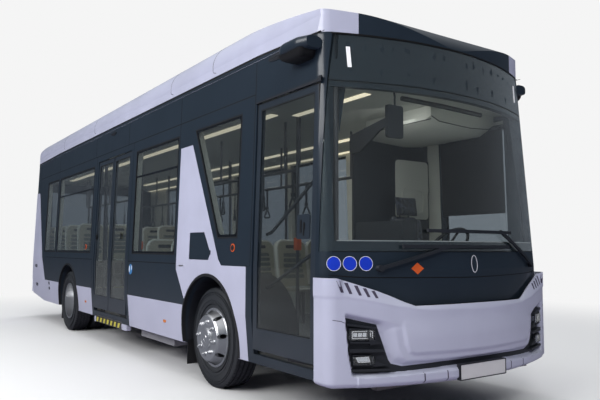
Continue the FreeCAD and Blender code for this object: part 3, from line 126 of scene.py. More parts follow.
def addRings(bm, rings, loop=False):
    # Skin through rings of points, closed at both ends unless the rings loop
    rows = [[bm.verts.new(p) for p in ring] for ring in rings]
    pairs = list(zip(rows[:-1], rows[1:]))
    if loop:
        pairs.append((rows[-1], rows[0]))
    for a, b in pairs:
        for i in range(len(a)):
            j = (i + 1) % len(a)
            bm.faces.new((a[i], a[j], b[j], b[i]))
    if not loop:
        bm.faces.new(list(reversed(rows[0])))
        bm.faces.new(rows[-1])


def addBox(bm, low, high):
    x0, y0, z0 = low
    x1, y1, z1 = high
    ring = [(x0, y0), (x1, y0), (x1, y1), (x0, y1)]
    addRings(bm, [[Vector((x, y, z)) for x, y in ring] for z in (z0, z1)])


def addTube(bm, points, radius, sides, loop=False, flat=1.0):
    # Round bar along points; flat squeezes it along its second direction
    points = [Vector(p) for p in points]
    count = len(points)
    rings = []
    across = None
    for i, point in enumerate(points):
        before = points[i - 1] if (i > 0 or loop) else point
        after = points[(i + 1) % count] if (i < count - 1 or loop) else point
        run = (after - before).normalized()
        if across is None:
            across = run.orthogonal().normalized()
        across = (across - run * across.dot(run)).normalized()
        second = run.cross(across)
        ring = []
        for k in range(sides):
            angle = 2 * math.pi * k / sides
            ring.append(point + across * radius * math.cos(angle)
                        + second * radius * flat * math.sin(angle))
        rings.append(ring)
    addRings(bm, rings, loop)


def addTurned(bm, profile, centre, axis, start, sides):
    # Closed ring of (radius, along) points turned about an axis
    centre, axis, start = Vector(centre), Vector(axis).normalized(), Vector(start).normalized()
    third = axis.cross(start)
    rings = []
    for k in range(sides):
        angle = 2 * math.pi * k / sides
        way = start * math.cos(angle) + third * math.sin(angle)
        rings.append([centre + way * r + axis * a for r, a in profile])
    addRings(bm, rings, loop=True)


def addPatch(bm, outline, place, low, high, cutsU=(), cutsV=()):
    # Plate with a flat outline laid on a curved wall, between two depths
    flat = bmesh.new()
    flat.faces.new([flat.verts.new((u, v, 0)) for u, v in outline])
    for axis, cuts in ((0, cutsU), (1, cutsV)):
        normal = Vector((1, 0, 0)) if axis == 0 else Vector((0, 1, 0))
        for cut in cuts:
            geometry = flat.verts[:] + flat.edges[:] + flat.faces[:]
            bmesh.ops.bisect_plane(flat, geom=geometry, plane_co=normal * cut, plane_no=normal,
                                   dist=0.00001)
    upper, lower = {}, {}
    flat.verts.index_update()
    for vert in flat.verts:
        u, v, _ = vert.co
        upper[vert.index] = bm.verts.new(place(u, v, high))
        lower[vert.index] = bm.verts.new(place(u, v, low))
    for face in flat.faces:
        ids = [vert.index for vert in face.verts]
        bm.faces.new([upper[i] for i in ids])
        bm.faces.new([lower[i] for i in reversed(ids)])
    for edge in flat.edges:
        if len(edge.link_faces) == 1:
            a, b = (vert.index for vert in edge.verts)
            bm.faces.new((upper[a], upper[b], lower[b], lower[a]))
    flat.free()


def gridCuts(low, high, step):
    count = int((high - low) / step)
    return [low + step * (i + 1) for i in range(count)]


def bandOutline(points, width):
    # Outline of a band of even width along a line of points
    left, right = [], []
    count = len(points)
    for i, (u, v) in enumerate(points):
        before = points[max(i - 1, 0)]
        after = points[min(i + 1, count - 1)]
        run = Vector((after[0] - before[0], after[1] - before[1])).normalized()
        off = Vector((-run.y, run.x)) * width / 2
        left.append((u + off.x, v + off.y))
        right.append((u - off.x, v - off.y))
    return left + list(reversed(right))


def roundedBox(x0, x1, y0, y1, r, steps=5):
    corners = ((x1 - r, y1 - r, 0), (x0 + r, y1 - r, 90), (x0 + r, y0 + r, 180), (x1 - r, y0 + r, 270))
    points = []
    for cx, cy, start in corners:
        for k in range(steps + 1):
            angle = math.radians(start + 90 * k / steps)
            points.append((cx + r * math.cos(angle), cy + r * math.sin(angle)))
    return points


def ellipse(cx, cy, rx, ry, sides=32):
    return [(cx + rx * math.cos(2 * math.pi * k / sides), cy + ry * math.sin(2 * math.pi * k / sides))
            for k in range(sides)]


# Materials

def fill(tree, node, inputs):
    # An input that is given a socket is linked to it; a number or colour is set as its own value
    for key, value in inputs.items():
        socket = node.inputs[key]
        if isinstance(value, bpy.types.NodeSocket):
            tree.links.new(value, socket)
        elif socket.type == "RGBA":
            socket.default_value = (*value, 1.0)
        else:
            socket.default_value = value


def addNode(tree, kind, inputs=None, **settings):
    node = tree.nodes.new(kind)
    for key, value in settings.items():
        setattr(node, key, value)
    fill(tree, node, inputs or {})
    return node


def addValue(tree, kind, inputs=None, output=0, **settings):
    return addNode(tree, kind, inputs, **settings).outputs[output]


def addMath(tree, operation, *values, **settings):
    return addValue(tree, "ShaderNodeMath", dict(enumerate(values)), operation=operation, **settings)


def mixColors(tree, factor, first, second):
    return addValue(tree, "ShaderNodeMix", {"Factor": factor, "A": first, "B": second}, "Result",
                    data_type="RGBA")


def mixShaders(tree, factor, first, second):
    return addValue(tree, "ShaderNodeMixShader", {"Fac": factor, 1: first, 2: second})


def groupTree(name, kind, inputs, outputs):
    # Node group whose sockets are given as name: kind
    tree = bpy.data.node_groups.new(name, kind)
    for way, sockets in (("INPUT", inputs), ("OUTPUT", outputs)):
        for label, sort in sockets.items():
            tree.interface.new_socket(name=label, in_out=way, socket_type="NodeSocket" + sort)
    return tree, tree.nodes.new("NodeGroupInput").outputs, tree.nodes.new("NodeGroupOutput")


def weatherGroup():
    # Soft patches, fine grain and road dust that thins out with height
    tree, given, result = groupTree(
        "weather", "ShaderNodeTree",
        {"Color": "Color", "Dust": "Color", "Dust Amount": "Float", "Dust Top": "Float",
         "Rough": "Float", "Rough Range": "Float", "Grain": "Float"},
        {"Color": "Color", "Roughness": "Float", "Height": "Float"})
    where = addValue(tree, "ShaderNodeTexCoord", output="Object")
    patches = addValue(tree, "ShaderNodeTexNoise", {"Vector": where, "Scale": 2.3, "Detail": 6.0})
    grain = addValue(tree, "ShaderNodeTexNoise", {"Vector": where, "Scale": given["Grain"], "Detail": 3.0})
    height = addValue(tree, "ShaderNodeSeparateXYZ", {0: where}, "Z")
    low = addValue(tree, "ShaderNodeMapRange", {"Value": height, "From Min": 0.15, "To Min": 1.0,
                                                "From Max": given["Dust Top"], "To Max": 0.0})
    dusty = addMath(tree, "MULTIPLY", addMath(tree, "MULTIPLY", low, patches), given["Dust Amount"])
    shade = addValue(tree, "ShaderNodeMapRange", {"Value": patches, "From Min": 0.3, "From Max": 0.7,
                                                  "To Min": 0.93, "To Max": 1.05})
    tint = addValue(tree, "ShaderNodeVectorMath", {0: given["Color"], "Scale": shade}, operation="SCALE")
    spread = addMath(tree, "MULTIPLY_ADD", patches, given["Rough Range"], given["Rough"])
    fill(tree, result, {"Color": mixColors(tree, dusty, tint, given["Dust"]), "Height": grain,
                        "Roughness": addMath(tree, "MULTIPLY_ADD", dusty, 0.3, spread, use_clamp=True)})
    return tree


def weaveGroup():
    # Crossed threads with lighter and darker stitches
    tree, given, result = groupTree("weave", "ShaderNodeTree",
                                    {"Color A": "Color", "Color B": "Color", "Scale": "Float"},
                                    {"Color": "Color", "Height": "Float"})
    where = addValue(tree, "ShaderNodeTexCoord", output="Object")
    threads = {"Vector": where, "Scale": given["Scale"], "Distortion": 0.6}
    waves = [addValue(tree, "ShaderNodeTexWave", threads, "Fac", bands_direction=way) for way in ("Y", "Z")]
    spots = addValue(tree, "ShaderNodeTexNoise", {"Vector": where, "Scale": 40.0})
    edge = addValue(tree, "ShaderNodeMapRange", {"Value": spots, "From Min": 0.48, "From Max": 0.56})
    fill(tree, result, {"Color": mixColors(tree, edge, given["Color A"], given["Color B"]),
                        "Height": addMath(tree, "MULTIPLY", *waves)})
    return tree


weather = weatherGroup()
weave = weaveGroup()
roadDust = (0.30, 0.27, 0.25)


def newMaterial(name):
    material = bpy.data.materials.new(name)
    material.use_nodes = True
    return material, material.node_tree, material.node_tree.nodes["Principled BSDF"]


def surface(name, color, rough, dust=0.3, dustTop=1.2, spread=0.12, grain=300.0, bump=0.0002,
            metallic=0.0, coat=0.0, gloss=0.5):
    material, tree, shader = newMaterial(name)
    look = addNode(tree, "ShaderNodeGroup",
                   {"Color": color, "Dust": roadDust, "Dust Amount": dust, "Dust Top": dustTop,
                    "Rough": rough, "Rough Range": spread, "Grain": grain}, node_tree=weather).outputs
    lift = addValue(tree, "ShaderNodeBump", {"Strength": 0.5, "Distance": bump, "Height": look["Height"]})
    fill(tree, shader, {"Base Color": look["Color"], "Roughness": look["Roughness"], "Normal": lift,
                        "Metallic": metallic, "Coat Weight": coat, "Coat Roughness": 0.06,
                        "Specular IOR Level": gloss})
    return material


def glassLook(name, color, tint):
    # Clear or tinted glass; shadow rays pass through it with its tint
    material, tree, shader = newMaterial(name)
    where = addValue(tree, "ShaderNodeTexCoord", output="Object")
    ripple = addValue(tree, "ShaderNodeTexNoise", {"Vector": where, "Scale": 1.1})
    lift = addValue(tree, "ShaderNodeBump", {"Strength": 0.12, "Distance": 0.003, "Height": ripple})
    fill(tree, shader, {"Base Color": color, "Roughness": 0.02, "Transmission Weight": 1.0, "IOR": 1.45,
                        "Normal": lift})
    clear = addValue(tree, "ShaderNodeBsdfTransparent", {"Color": tint})
    shadow = addValue(tree, "ShaderNodeLightPath", output="Is Shadow Ray")
    mixed = mixShaders(tree, shadow, shader.outputs[0], clear)
    fill(tree, tree.nodes["Material Output"], {"Surface": mixed})
    return material


def clothLook(name, colorA, colorB, scale=260.0):
    material, tree, shader = newMaterial(name)
    look = addNode(tree, "ShaderNodeGroup", {"Color A": colorA, "Color B": colorB, "Scale": scale},
                   node_tree=weave).outputs
    lift = addValue(tree, "ShaderNodeBump", {"Distance": 0.001, "Height": look["Height"]})
    fill(tree, shader, {"Base Color": look["Color"], "Normal": lift, "Roughness": 0.9, "Sheen Weight": 0.3})
    return material


def glowLook(name, color, strength, base=(0.8, 0.8, 0.8)):
    # A lit surface whose brightness wavers a little along its length
    material, tree, shader = newMaterial(name)
    where = addValue(tree, "ShaderNodeTexCoord", output="Object")
    waver = addValue(tree, "ShaderNodeTexNoise", {"Vector": where, "Scale": 3.0})
    glow = mixColors(tree, waver, [c * 0.92 for c in color], color)
    fill(tree, shader, {"Base Color": base, "Roughness": 0.4, "Emission Color": glow,
                        "Emission Strength": strength})
    return material


looks = {
    "lilac": surface("lilac paint", (0.53, 0.550, 0.675), 0.30, dust=0.30, dustTop=1.5, coat=0.35,
                     gloss=0.35),
    "charcoal": surface("charcoal paint", (0.017, 0.027, 0.039), 0.28, dust=0.10, dustTop=1.1, coat=0.25,
                        gloss=0.3),
    "darkGlass": glassLook("tinted glass", (0.42, 0.46, 0.47), (0.55, 0.59, 0.59)),
    "clearGlass": glassLook("windscreen glass", (0.78, 0.82, 0.80), (0.85, 0.88, 0.86)),
    "blackPlastic": surface("black plastic", (0.017, 0.020, 0.026), 0.40, dust=0.06, grain=900.0,
                            bump=0.0006),
    "frameSteel": surface("frame steel", (0.045, 0.047, 0.050), 0.55, dust=0.7, dustTop=0.8, bump=0.0008),
    "floor": surface("floor covering", (0.16, 0.165, 0.18), 0.5, dust=0.1, grain=700.0, bump=0.0004),
    "lining": surface("lining", (0.56, 0.56, 0.51), 0.5, dust=0.0, grain=500.0, bump=0.0003),
    "light": glowLook("light cover", (1.0, 0.86, 0.62), 1.05),
    "seat": surface("seat shell", (0.35, 0.33, 0.25), 0.45, dust=0.0, grain=450.0, bump=0.0004),
    "driverFabric": clothLook("driver's seat cloth", (0.020, 0.022, 0.030), (0.05, 0.06, 0.09)),
    "pole": surface("grab rail", (0.10, 0.10, 0.11), 0.28, dust=0.0, metallic=0.6),
    "alloy": surface("polished alloy", (0.84, 0.85, 0.87), 0.24, dust=0.12, dustTop=1.6, spread=0.14,
                     metallic=1.0, grain=160.0),
    "tyre": surface("tyre rubber", (0.014, 0.019, 0.025), 0.55, dust=0.12, dustTop=1.5, grain=500.0,
                    bump=0.0006),
    "rubber": surface("seal rubber", (0.010, 0.011, 0.013), 0.5, dust=0.06, grain=800.0),
    "cast": surface("cast iron", (0.055, 0.052, 0.050), 0.7, dust=0.8, dustTop=1.0, grain=120.0,
                    bump=0.0015),
    "lampClear": glassLook("lamp lens", (0.85, 0.86, 0.88), (0.85, 0.86, 0.88)),
    "batteryCase": surface("battery case", (0.22, 0.23, 0.25), 0.5, dust=0.5, dustTop=1.0),
    "rampMetal": surface("ramp plate", (0.42, 0.42, 0.43), 0.4, dust=0.5, dustTop=0.8, metallic=0.8,
                         grain=220.0, bump=0.0010),
    "doorFrame": surface("door frame", (0.020, 0.029, 0.040), 0.3, dust=0.12, coat=0.4),
    # Slot shadow is painted shade: a dark lilac laid on the wing slots, the lip notches and the wing crease
    # where they fall into shade
    "slotShade": surface("slot shadow", (0.060, 0.050, 0.085), 0.6, dust=0.1),
    "seam": surface("panel gap", (0.003, 0.003, 0.004), 0.6, dust=0.0),
    "border": surface("glass border", (0.005, 0.006, 0.008), 0.10, dust=0.05, coat=0.3),
    "signBlue": surface("blue film", (0.010, 0.045, 0.55), 0.25, dust=0.0),
    "signWhite": surface("white film", (0.80, 0.81, 0.83), 0.3, dust=0.05),
    "signOrange": surface("orange film", (0.75, 0.12, 0.02), 0.3, dust=0.0),
    "skyBlue": surface("pale blue film", (0.05, 0.22, 0.50), 0.3, dust=0.0),
    "yellow": surface("yellow film", (0.62, 0.55, 0.04), 0.4, dust=0.3),
    "black": surface("black film", (0.008, 0.008, 0.009), 0.35, dust=0.2),
    "silver": surface("bright strip", (0.62, 0.62, 0.63), 0.25, dust=0.0, metallic=0.9),
    "plate": surface("number plate film", (0.70, 0.70, 0.68), 0.28, dust=0.15),
    "amber": surface("amber lens", (0.70, 0.20, 0.015), 0.12, dust=0.2, coat=0.6),
    "red": surface("red lens", (0.42, 0.012, 0.010), 0.12, dust=0.2, coat=0.6),
    "marker": glowLook("marker lamp", (0.95, 0.97, 1.0), 0.25, (0.9, 0.9, 0.9)),
    "led": glowLook("lamp diode", (0.92, 0.95, 1.0), 0.16, (0.55, 0.57, 0.60)),
    "reflector": surface("lamp reflector", (0.75, 0.76, 0.78), 0.12, dust=0.0, metallic=1.0),
    "display": surface("display", (0.006, 0.007, 0.008), 0.35, dust=0.0),
    "seatPad": clothLook("seat cloth", (0.10, 0.11, 0.10), (0.15, 0.16, 0.14), 200.0),
}
print("stage: materials made")

lookNodes = {
    "charcoal": "wall_right wall_left charge_flap front_mask rear_wall rear_hatch roof_dome mirror_pods",
    "lilac": "lilac_panels front_bumper rear_bumper roof_shell",
    "blackPlastic": "front_grille wheel_arches driver_partition cab_door dashboard wipers",
    "darkGlass": "side_windows door_front_glass door_mid_front_glass door_mid_rear_glass",
    "doorFrame": "door_front_leaf door_mid_front_leaf door_mid_rear_leaf",
    "pole": "seat_feet handrails door_front_post door_mid_front_post door_mid_rear_post",
    "clearGlass": "windscreen", "lampClear": "lamps", "lining": "roof_lining", "light": "ceiling_lights",
    "floor": "floor_deck", "frameSteel": "underframe ramp_cassette", "rubber": "mud_flaps steering_wheel",
    "rampMetal": "ramp", "batteryCase": "batteries", "seat": "seat_pans seat_backs",
    "driverFabric": "driver_seat", "cast": "front_axle rear_axle motor_block knuckle_left knuckle_right",
    "tyre": "tyre_front_left tyre_front_right tyre_rear_left tyre_rear_right",
    "alloy": "rim_front_left rim_front_right rim_rear_left rim_rear_right",
}
for look, names in lookNodes.items():
    for name in names.split():
        for slot in bpy.data.objects[name].material_slots:
            slot.material = looks[look]
print("stage: CAD pieces finished")

# Camera, floor and light

backdropColor = (0.913, 0.913, 0.913)


def addCamera():
    place = Vector((8.1466, -3.874, 1.3023))
    yaw, pitch, roll = math.radians(145.365), math.radians(4.493), math.radians(0.154)
    ahead = Vector((math.cos(yaw) * math.cos(pitch), math.sin(yaw) * math.cos(pitch), math.sin(pitch)))
    right = Vector((math.sin(yaw), -math.cos(yaw), 0))
    upward = right.cross(ahead)
    tiltRight = right * math.cos(roll) + upward * math.sin(roll)
    tiltUp = upward * math.cos(roll) - right * math.sin(roll)
    data = bpy.data.cameras.new("photo camera")
    data.lens = 37.344
    data.sensor_width = 36.0
    data.clip_end = 200.0
    camera = linkedObject("photo camera", data)
    turn = Matrix((tiltRight, tiltUp, -ahead)).transposed().to_4x4()
    camera.matrix_world = Matrix.Translation(place) @ turn
    bpy.context.scene.camera = camera


def addFloor():
    # Seen from above it is a pale floor that fades into the backdrop; it lights and mirrors darker
    shape = {"half": 60.0, "fade": (5.5, 11.0)}
    half = shape["half"]
    mesh = bpy.data.meshes.new("studio_floor")
    mesh.from_pydata([(-half, -half, 0), (half, -half, 0), (half, half, 0), (-half, half, 0)], [],
                     [(0, 1, 2, 3)])
    floor = linkedObject("studio_floor", mesh)
    material, tree, shader = newMaterial("studio floor")
    fill(tree, shader, {"Base Color": (0.87, 0.87, 0.87), "Roughness": 0.9, "Specular IOR Level": 0.1})
    dim = addValue(tree, "ShaderNodeBsdfDiffuse", {"Color": (0.60, 0.56, 0.68)})
    mirrored = addValue(tree, "ShaderNodeBsdfDiffuse", {"Color": (0.17, 0.175, 0.20)})
    beyond = addValue(tree, "ShaderNodeEmission", {"Color": backdropColor})
    where = addValue(tree, "ShaderNodeTexCoord", output="Object")
    away = addValue(tree, "ShaderNodeVectorMath", {0: where}, "Value", operation="LENGTH")
    fade = addValue(tree, "ShaderNodeMapRange",
                    {"Value": away, "From Min": shape["fade"][0], "From Max": shape["fade"][1]},
                    interpolation_type="SMOOTHSTEP")
    path = tree.nodes.new("ShaderNodeLightPath").outputs
    seen = addMath(tree, "MAXIMUM", path["Is Camera Ray"], path["Is Transmission Ray"])
    near = mixShaders(tree, fade, shader.outputs[0], beyond)
    unseen = mixShaders(tree, path["Is Glossy Ray"], dim, mirrored)
    above = mixShaders(tree, seen, unseen, near)
    clear = addValue(tree, "ShaderNodeBsdfTransparent")
    behind = addValue(tree, "ShaderNodeNewGeometry", output="Backfacing")
    fill(tree, tree.nodes["Material Output"], {"Surface": mixShaders(tree, behind, above, clear)})
    mesh.materials.append(material)


def addWorld():
    # The camera sees the backdrop; other rays see a room that is dark below and bright above
    world = bpy.data.worlds.new("studio")
    bpy.context.scene.world = world
    world.use_nodes = True
    tree = world.node_tree
    backdrop = tree.nodes["Background"]
    fill(tree, backdrop, {"Color": backdropColor})
    where = addValue(tree, "ShaderNodeTexCoord", output="Generated")
    height = addValue(tree, "ShaderNodeSeparateXYZ", {0: where}, "Z")
    rise = addValue(tree, "ShaderNodeMapRange", {"Value": height, "From Min": -1.0})
    ramp = addNode(tree, "ShaderNodeValToRGB", {0: rise})
    stops = ramp.color_ramp.elements
    stops[0].position, stops[0].color = 0.49, (0.040, 0.052, 0.070, 1)
    stops[1].position, stops[1].color = 0.95, (0.75, 0.76, 0.78, 1)
    stops.new(0.72).color = (0.105, 0.125, 0.155, 1)
    room = addValue(tree, "ShaderNodeBackground", {"Color": ramp.outputs[0], "Strength": 0.9})
    glazed = addValue(tree, "ShaderNodeBackground", {"Color": (0.42, 0.44, 0.50)})
    path = tree.nodes.new("ShaderNodeLightPath").outputs
    through = mixShaders(tree, path["Is Transmission Ray"], room, glazed)
    whole = mixShaders(tree, path["Is Camera Ray"], through, backdrop.outputs[0])
    fill(tree, tree.nodes["World Output"], {"Surface": whole})


def addLight(name, place, aim, size, power, seen=True):
    data = bpy.data.lights.new(name, "AREA")
    data.shape = "RECTANGLE"
    data.size, data.size_y = size
    data.energy = power
    lamp = linkedObject(name, data)
    lamp.location = place
    lamp.rotation_euler = (Vector(aim) - Vector(place)).to_track_quat("-Z", "Y").to_euler()
    lamp.visible_camera = False
    lamp.visible_transmission = lamp.visible_glossy = seen


addCamera()
addFloor()
addWorld()
addLight("key light", (3.0, -13.0, 8.0), (0, 0, 1.5), (11.0, 5.0), 1360)
addLight("front light", (13.0, -6.0, 9.0), (3.5, 0, 1.4), (4.0, 4.0), 430, False)
addLight("top light", (0, 0, 12.0), (0, 0, 0), (14.0, 7.0), 500, False)
addLight("far light", (-8.0, 10.0, 8.0), (0, 0, 1.5), (8.0, 5.0), 480, False)
addLight("cabin light front", (2.6, 0.0, 2.50), (2.6, 0, 0), (3.0, 1.2), 15, False)
addLight("cabin light rear", (-2.2, 0.0, 2.50), (-2.2, 0, 0), (4.0, 1.2), 17, False)
addLight("driver light", (4.1, -0.2, 2.45), (3.7, 0.5, 1.4), (0.6, 0.8), 2.5, False)
bpy.context.scene.view_settings.view_transform = "Standard"
print("stage: camera and light placed")

# Repeats: one part copied to every point of a carrier, each with its own turn

def copiesTree():
    tree, given, result = groupTree("copies", "GeometryNodeTree",
                                    {"Geometry": "Geometry", "Part": "Object", "Finish": "Material"},
                                    {"Geometry": "Geometry"})
    part = addValue(tree, "GeometryNodeObjectInfo", {"Object": given["Part"]}, "Geometry")
    turn = addValue(tree, "GeometryNodeInputNamedAttribute", {"Name": "turn"}, "Attribute",
                    data_type="FLOAT_VECTOR")
    copies = addValue(tree, "GeometryNodeInstanceOnPoints",
                      {"Points": given["Geometry"], "Instance": part, "Rotation": turn})
    real = addValue(tree, "GeometryNodeRealizeInstances", {0: copies})
    fill(tree, result, {0: addValue(tree, "GeometryNodeSetMaterial",
                                    {"Geometry": real, "Material": given["Finish"]})})
    return tree


copiesGroup = copiesTree()


def copyPiece(name, part, places, look, slot, degrees=30, body="bus"):
    # part is a bmesh about the origin; places are (point, euler turn) pairs
    partMesh = bpy.data.meshes.new(name + "Part")
    bmesh.ops.recalc_face_normals(part, faces=part.faces)
    part.to_mesh(partMesh)
    part.free()
    partObject = linkedObject(name + "Part", partMesh)
    carrier = bpy.data.meshes.new(name + "Points")
    carrier.from_pydata([tuple(point) for point, _ in places], [], [])
    turns = carrier.attributes.new("turn", "FLOAT_VECTOR", "POINT")
    for i, (_, turn) in enumerate(places):
        turns.data[i].vector = turn
    holder = linkedObject(name + "Points", carrier)
    modifier = holder.modifiers.new("copies", "NODES")
    modifier.node_group = copiesGroup
    values = {"Part": partObject, "Finish": looks[look]}
    for item in copiesGroup.interface.items_tree:
        if item.in_out == "INPUT" and item.name in values:
            modifier[item.identifier] = values[item.name]
    shape = holder.evaluated_get(bpy.context.evaluated_depsgraph_get())
    mesh = bpy.data.meshes.new_from_object(shape)
    holder.modifiers.remove(modifier)
    bpy.data.objects.remove(holder)
    bpy.data.objects.remove(partObject)
    mesh.name = name
    return finishPiece(name, mesh, look, slot, degrees, body)


def wheelRing(centre, side, radius, out, count, start=0.0):
    # Points round a wheel, each turned so that its own Y runs out of the wheel
    x, y = centre
    z = bodyShape["tyreR"]
    angles = [start + 2 * math.pi * k / count for k in range(count)]
    return [((x + radius * math.sin(a), y + side * out, z + radius * math.cos(a)), (0.0, a, 0.0))
            for a in angles]


# Wheels: tread blocks, sidewall rings, nuts and cap rings

tyreShape = {"ribs": (-0.0925, -0.048, 0.0, 0.048, 0.0925), "blocks": 64, "stagger": 0.03,
             "blockLength": 0.036, "blockWidth": 0.026, "proud": 0.0014, "width": 0.255,
             "frontY": 1.150, "rearY": 1.190, "root": 0.006,
             "rings": ((0.318, 0.004, 0.0030), (0.352, 0.0025, 0.0022), (0.404, 0.0025, 0.0022),
                       (0.424, 0.0025, 0.0022))}
nutShape = {"corner": 0.0168 / math.cos(math.pi / 6), "height": 0.0275, "washer": 0.023, "stud": 0.009,
            "circle": 0.150, "out": -0.0005, "count": 8, "turn": 8, "frontY": 1.218, "rearY": 0.9455,
            "caps": ([(0.074, 0.0192), (0.088, 0.0192), (0.086, 0.0222), (0.076, 0.0222)],
                     [(0.020, 0.0192), (0.034, 0.0192), (0.030, 0.0235), (0.022, 0.0235)])}
wallSides = ((-1, "right"), (1, "left"))


def treadBlock():
    s = tyreShape
    part = bmesh.new()
    rings = []
    for grow, z in ((1.0, -0.004), (1.0, s["proud"] * 0.3), (0.90, s["proud"])):
        w, d = s["blockWidth"] / 2 * grow, s["blockLength"] / 2 * grow
        rings.append([Vector((-d, -w, z)), Vector((d, -w, z)), Vector((d, w, z)), Vector((-d, w, z))])
    addRings(part, rings)
    return part


def sidewallProfiles():
    # Raised rings of the sidewall as (radius, along) loops
    root = -tyreShape["root"]
    return [[(r - w, root), (r + w, root), (r + w * 0.6, h), (r - w * 0.6, h)]
            for r, w, h in tyreShape["rings"]]


def turnedPiece(name, centre, profiles, side, look, body):
    bm = bmesh.new()
    for profile in profiles:
        addTurned(bm, profile, centre, (0, side, 0), (0, 0, 1), 96)
    return pieceFromBmesh(name, bm, look, look, 32, body)


def addStud(bm, sides, levels):
    # Stack of rings round the Y axis, each (radius, y)
    addRings(bm, [[Vector((r * math.sin(2 * math.pi * k / sides), y, r * math.cos(2 * math.pi * k / sides)))
                   for k in range(sides)] for r, y in levels])


def hexNut(side):
    s = nutShape
    part = bmesh.new()
    corner, high, washer, stud = s["corner"], s["height"], s["washer"], s["stud"]
    addStud(part, 6, ((corner, 0.0), (corner, high - 0.003), (corner * 0.86, high)))
    addStud(part, 20, ((washer, -0.001), (washer, 0.003), (washer * 0.9, 0.005)))
    addStud(part, 12, ((stud, high - 0.002), (stud, high + 0.006), (stud - 0.002, high + 0.009)))
    for vert in part.verts:
        vert.co.y *= side
    return part


def addWheels():
    s, t, n = bodyShape, tyreShape, nutShape
    r = s["tyreR"]
    for side, word in wallSides:
        for end, axle in (("front", s["axleFront"]), ("rear", s["axleRear"])):
            place = end + "_" + word
            body = "wheel_" + place
            outY, hubY = side * t[end + "Y"], side * n[end + "Y"]
            midY = outY - side * t["width"] / 2
            blocks = []
            for i, off in enumerate(t["ribs"]):
                blocks += wheelRing((axle, midY), side, r, off, t["blocks"], t["stagger"] * (i % 2))
            nuts = wheelRing((axle, hubY), side, n["circle"], n["out"], n["count"], math.radians(n["turn"]))
            copyPiece("tread_" + place, treadBlock(), blocks, "tyre", "tyre", 32, body)
            turnedPiece("sidewall_" + place, (axle, outY, r), sidewallProfiles(), side, "tyre", body)
            copyPiece("nuts_" + place, hexNut(side), nuts, "alloy", "alloy", 30, body)
            turnedPiece("cap_rings_" + place, (axle, hubY, r), n["caps"], side, "alloy", body)


addWheels()
print("stage: wheels")

# Front bumper: one sheet pressed into wings, brow, chin and the deep lamp recess

bumperShape = {
    "face": 4.980, "half": 1.245, "arc": 2.700, "corner": 0.110, "endX": 4.515, "low": 0.335,
    "top": ((0.0, 0.897), (0.610, 0.894), (0.700, 0.925), (0.802, 0.968), (0.901, 1.006), (1.185, 1.098),
            (1.500, 1.100)),
    "crease": ((0.0, 0.850), (0.500, 0.866), (0.780, 0.888), (0.935, 0.924), (1.130, 0.960),
               (1.500, 0.950)),
    "opening": ((1.136, 0.865), (0.905, 0.812), (0.615, 0.746), (0.770, 0.722), (0.752, 0.622),
                (0.722, 0.548), (0.690, 0.520), (0.353, 0.515), (0.0, 0.515)),
    "openingLow": ((0.0, 0.440), (0.313, 0.436), (0.556, 0.419), (0.852, 0.412), (1.060, 0.414),
                   (1.086, 0.424), (1.110, 0.551)),
    "grille": ((1.124, 0.822), (0.906, 0.768), (0.820, 0.520), (0.800, 0.492), (0.714, 0.470),
               (0.355, 0.482), (0.0, 0.486)),
    "grilleLow": ((0.0, 0.450), (0.313, 0.446), (0.784, 0.432), (1.050, 0.432), (1.074, 0.440),
                  (1.098, 0.551)),
    "chin": ((0.0, 0.535), (0.640, 0.540), (0.690, 0.560), (0.722, 0.622), (0.742, 0.760), (0.700, 0.900),
             (0.0, 0.900)),
    "depth": 0.046, "depthGain": 1.02, "thick": 0.010, "step": 0.0085, "tall": 0.72,
    # The wing's skin above the crease sinks back, and a small brow follows the crease
    "sink": 0.016, "sideSink": 0.028, "sinkY": 0.45, "sinkRun": 0.4, "sinkPower": 1.3,
    "cornerY": 1.13, "cornerRun": 0.05, "brow": 0.006, "browRun": 0.012, "browY": 0.55, "browFade": 0.1,
    "chinProud": 0.018, "chinEdge": 0.035, "chinTop": 0.66, "chinFade": 0.17,
    "lip": 0.012, "lipY": 1.05, "lipZ": 0.435, "lipRun": 0.02,
    "tuck": 0.055, "tuckZ": 0.372, "tuckRun": 0.037, "tuckPower": 1.6,
}


def lineAt(points, y):
    for (ya, za), (yb, zb) in zip(points[:-1], points[1:]):
        if y <= yb:
            return za + (zb - za) * (y - ya) / (yb - ya)
    return points[-1][1]


def edgeDistance(p, outline):
    # Distance to a closed outline and whether the point is inside it
    best, inside = 1e9, False
    px, py = p
    ax, ay = outline[-1]
    for bx, by in outline:
        dx, dy = bx - ax, by - ay
        t = ((px - ax) * dx + (py - ay) * dy) / (dx * dx + dy * dy)
        t = min(1.0, max(0.0, t))
        best = min(best, math.hypot(px - ax - t * dx, py - ay - t * dy))
        if (ay > py) != (by > py) and px < (bx - ax) * (py - ay) / (by - ay) + ax:
            inside = not inside
        ax, ay = bx, by
    return best, inside


def smooth(t):
    t = min(1.0, max(0.0, t))
    return t * t * (3 - 2 * t)


def bumperBase(u):
    # Point and outward way on the bumper's plan, at run u from the middle
    s = bumperShape
    turn = math.asin((s["half"] - s["corner"]) / (s["arc"] - s["corner"]))
    run, sign = abs(u), 1 if u >= 0 else -1
    arcRun = s["arc"] * turn
    cornerRun = s["corner"] * (math.pi / 2 - turn)
    centre = s["face"] - s["arc"]
    if run <= arcRun:
        angle = run / s["arc"]
        x, y = centre + s["arc"] * math.cos(angle), s["arc"] * math.sin(angle)
    elif run <= arcRun + cornerRun:
        angle = turn + (run - arcRun) / s["corner"]
        x = centre + (s["arc"] - s["corner"]) * math.cos(turn) + s["corner"] * math.cos(angle)
        y = s["half"] - s["corner"] + s["corner"] * math.sin(angle)
    else:
        angle = math.pi / 2
        x = centre + (s["arc"] - s["corner"]) * math.cos(turn) - (run - arcRun - cornerRun)
        y = s["half"]
    return Vector((x, sign * y, 0)), Vector((math.cos(angle), sign * math.sin(angle), 0))


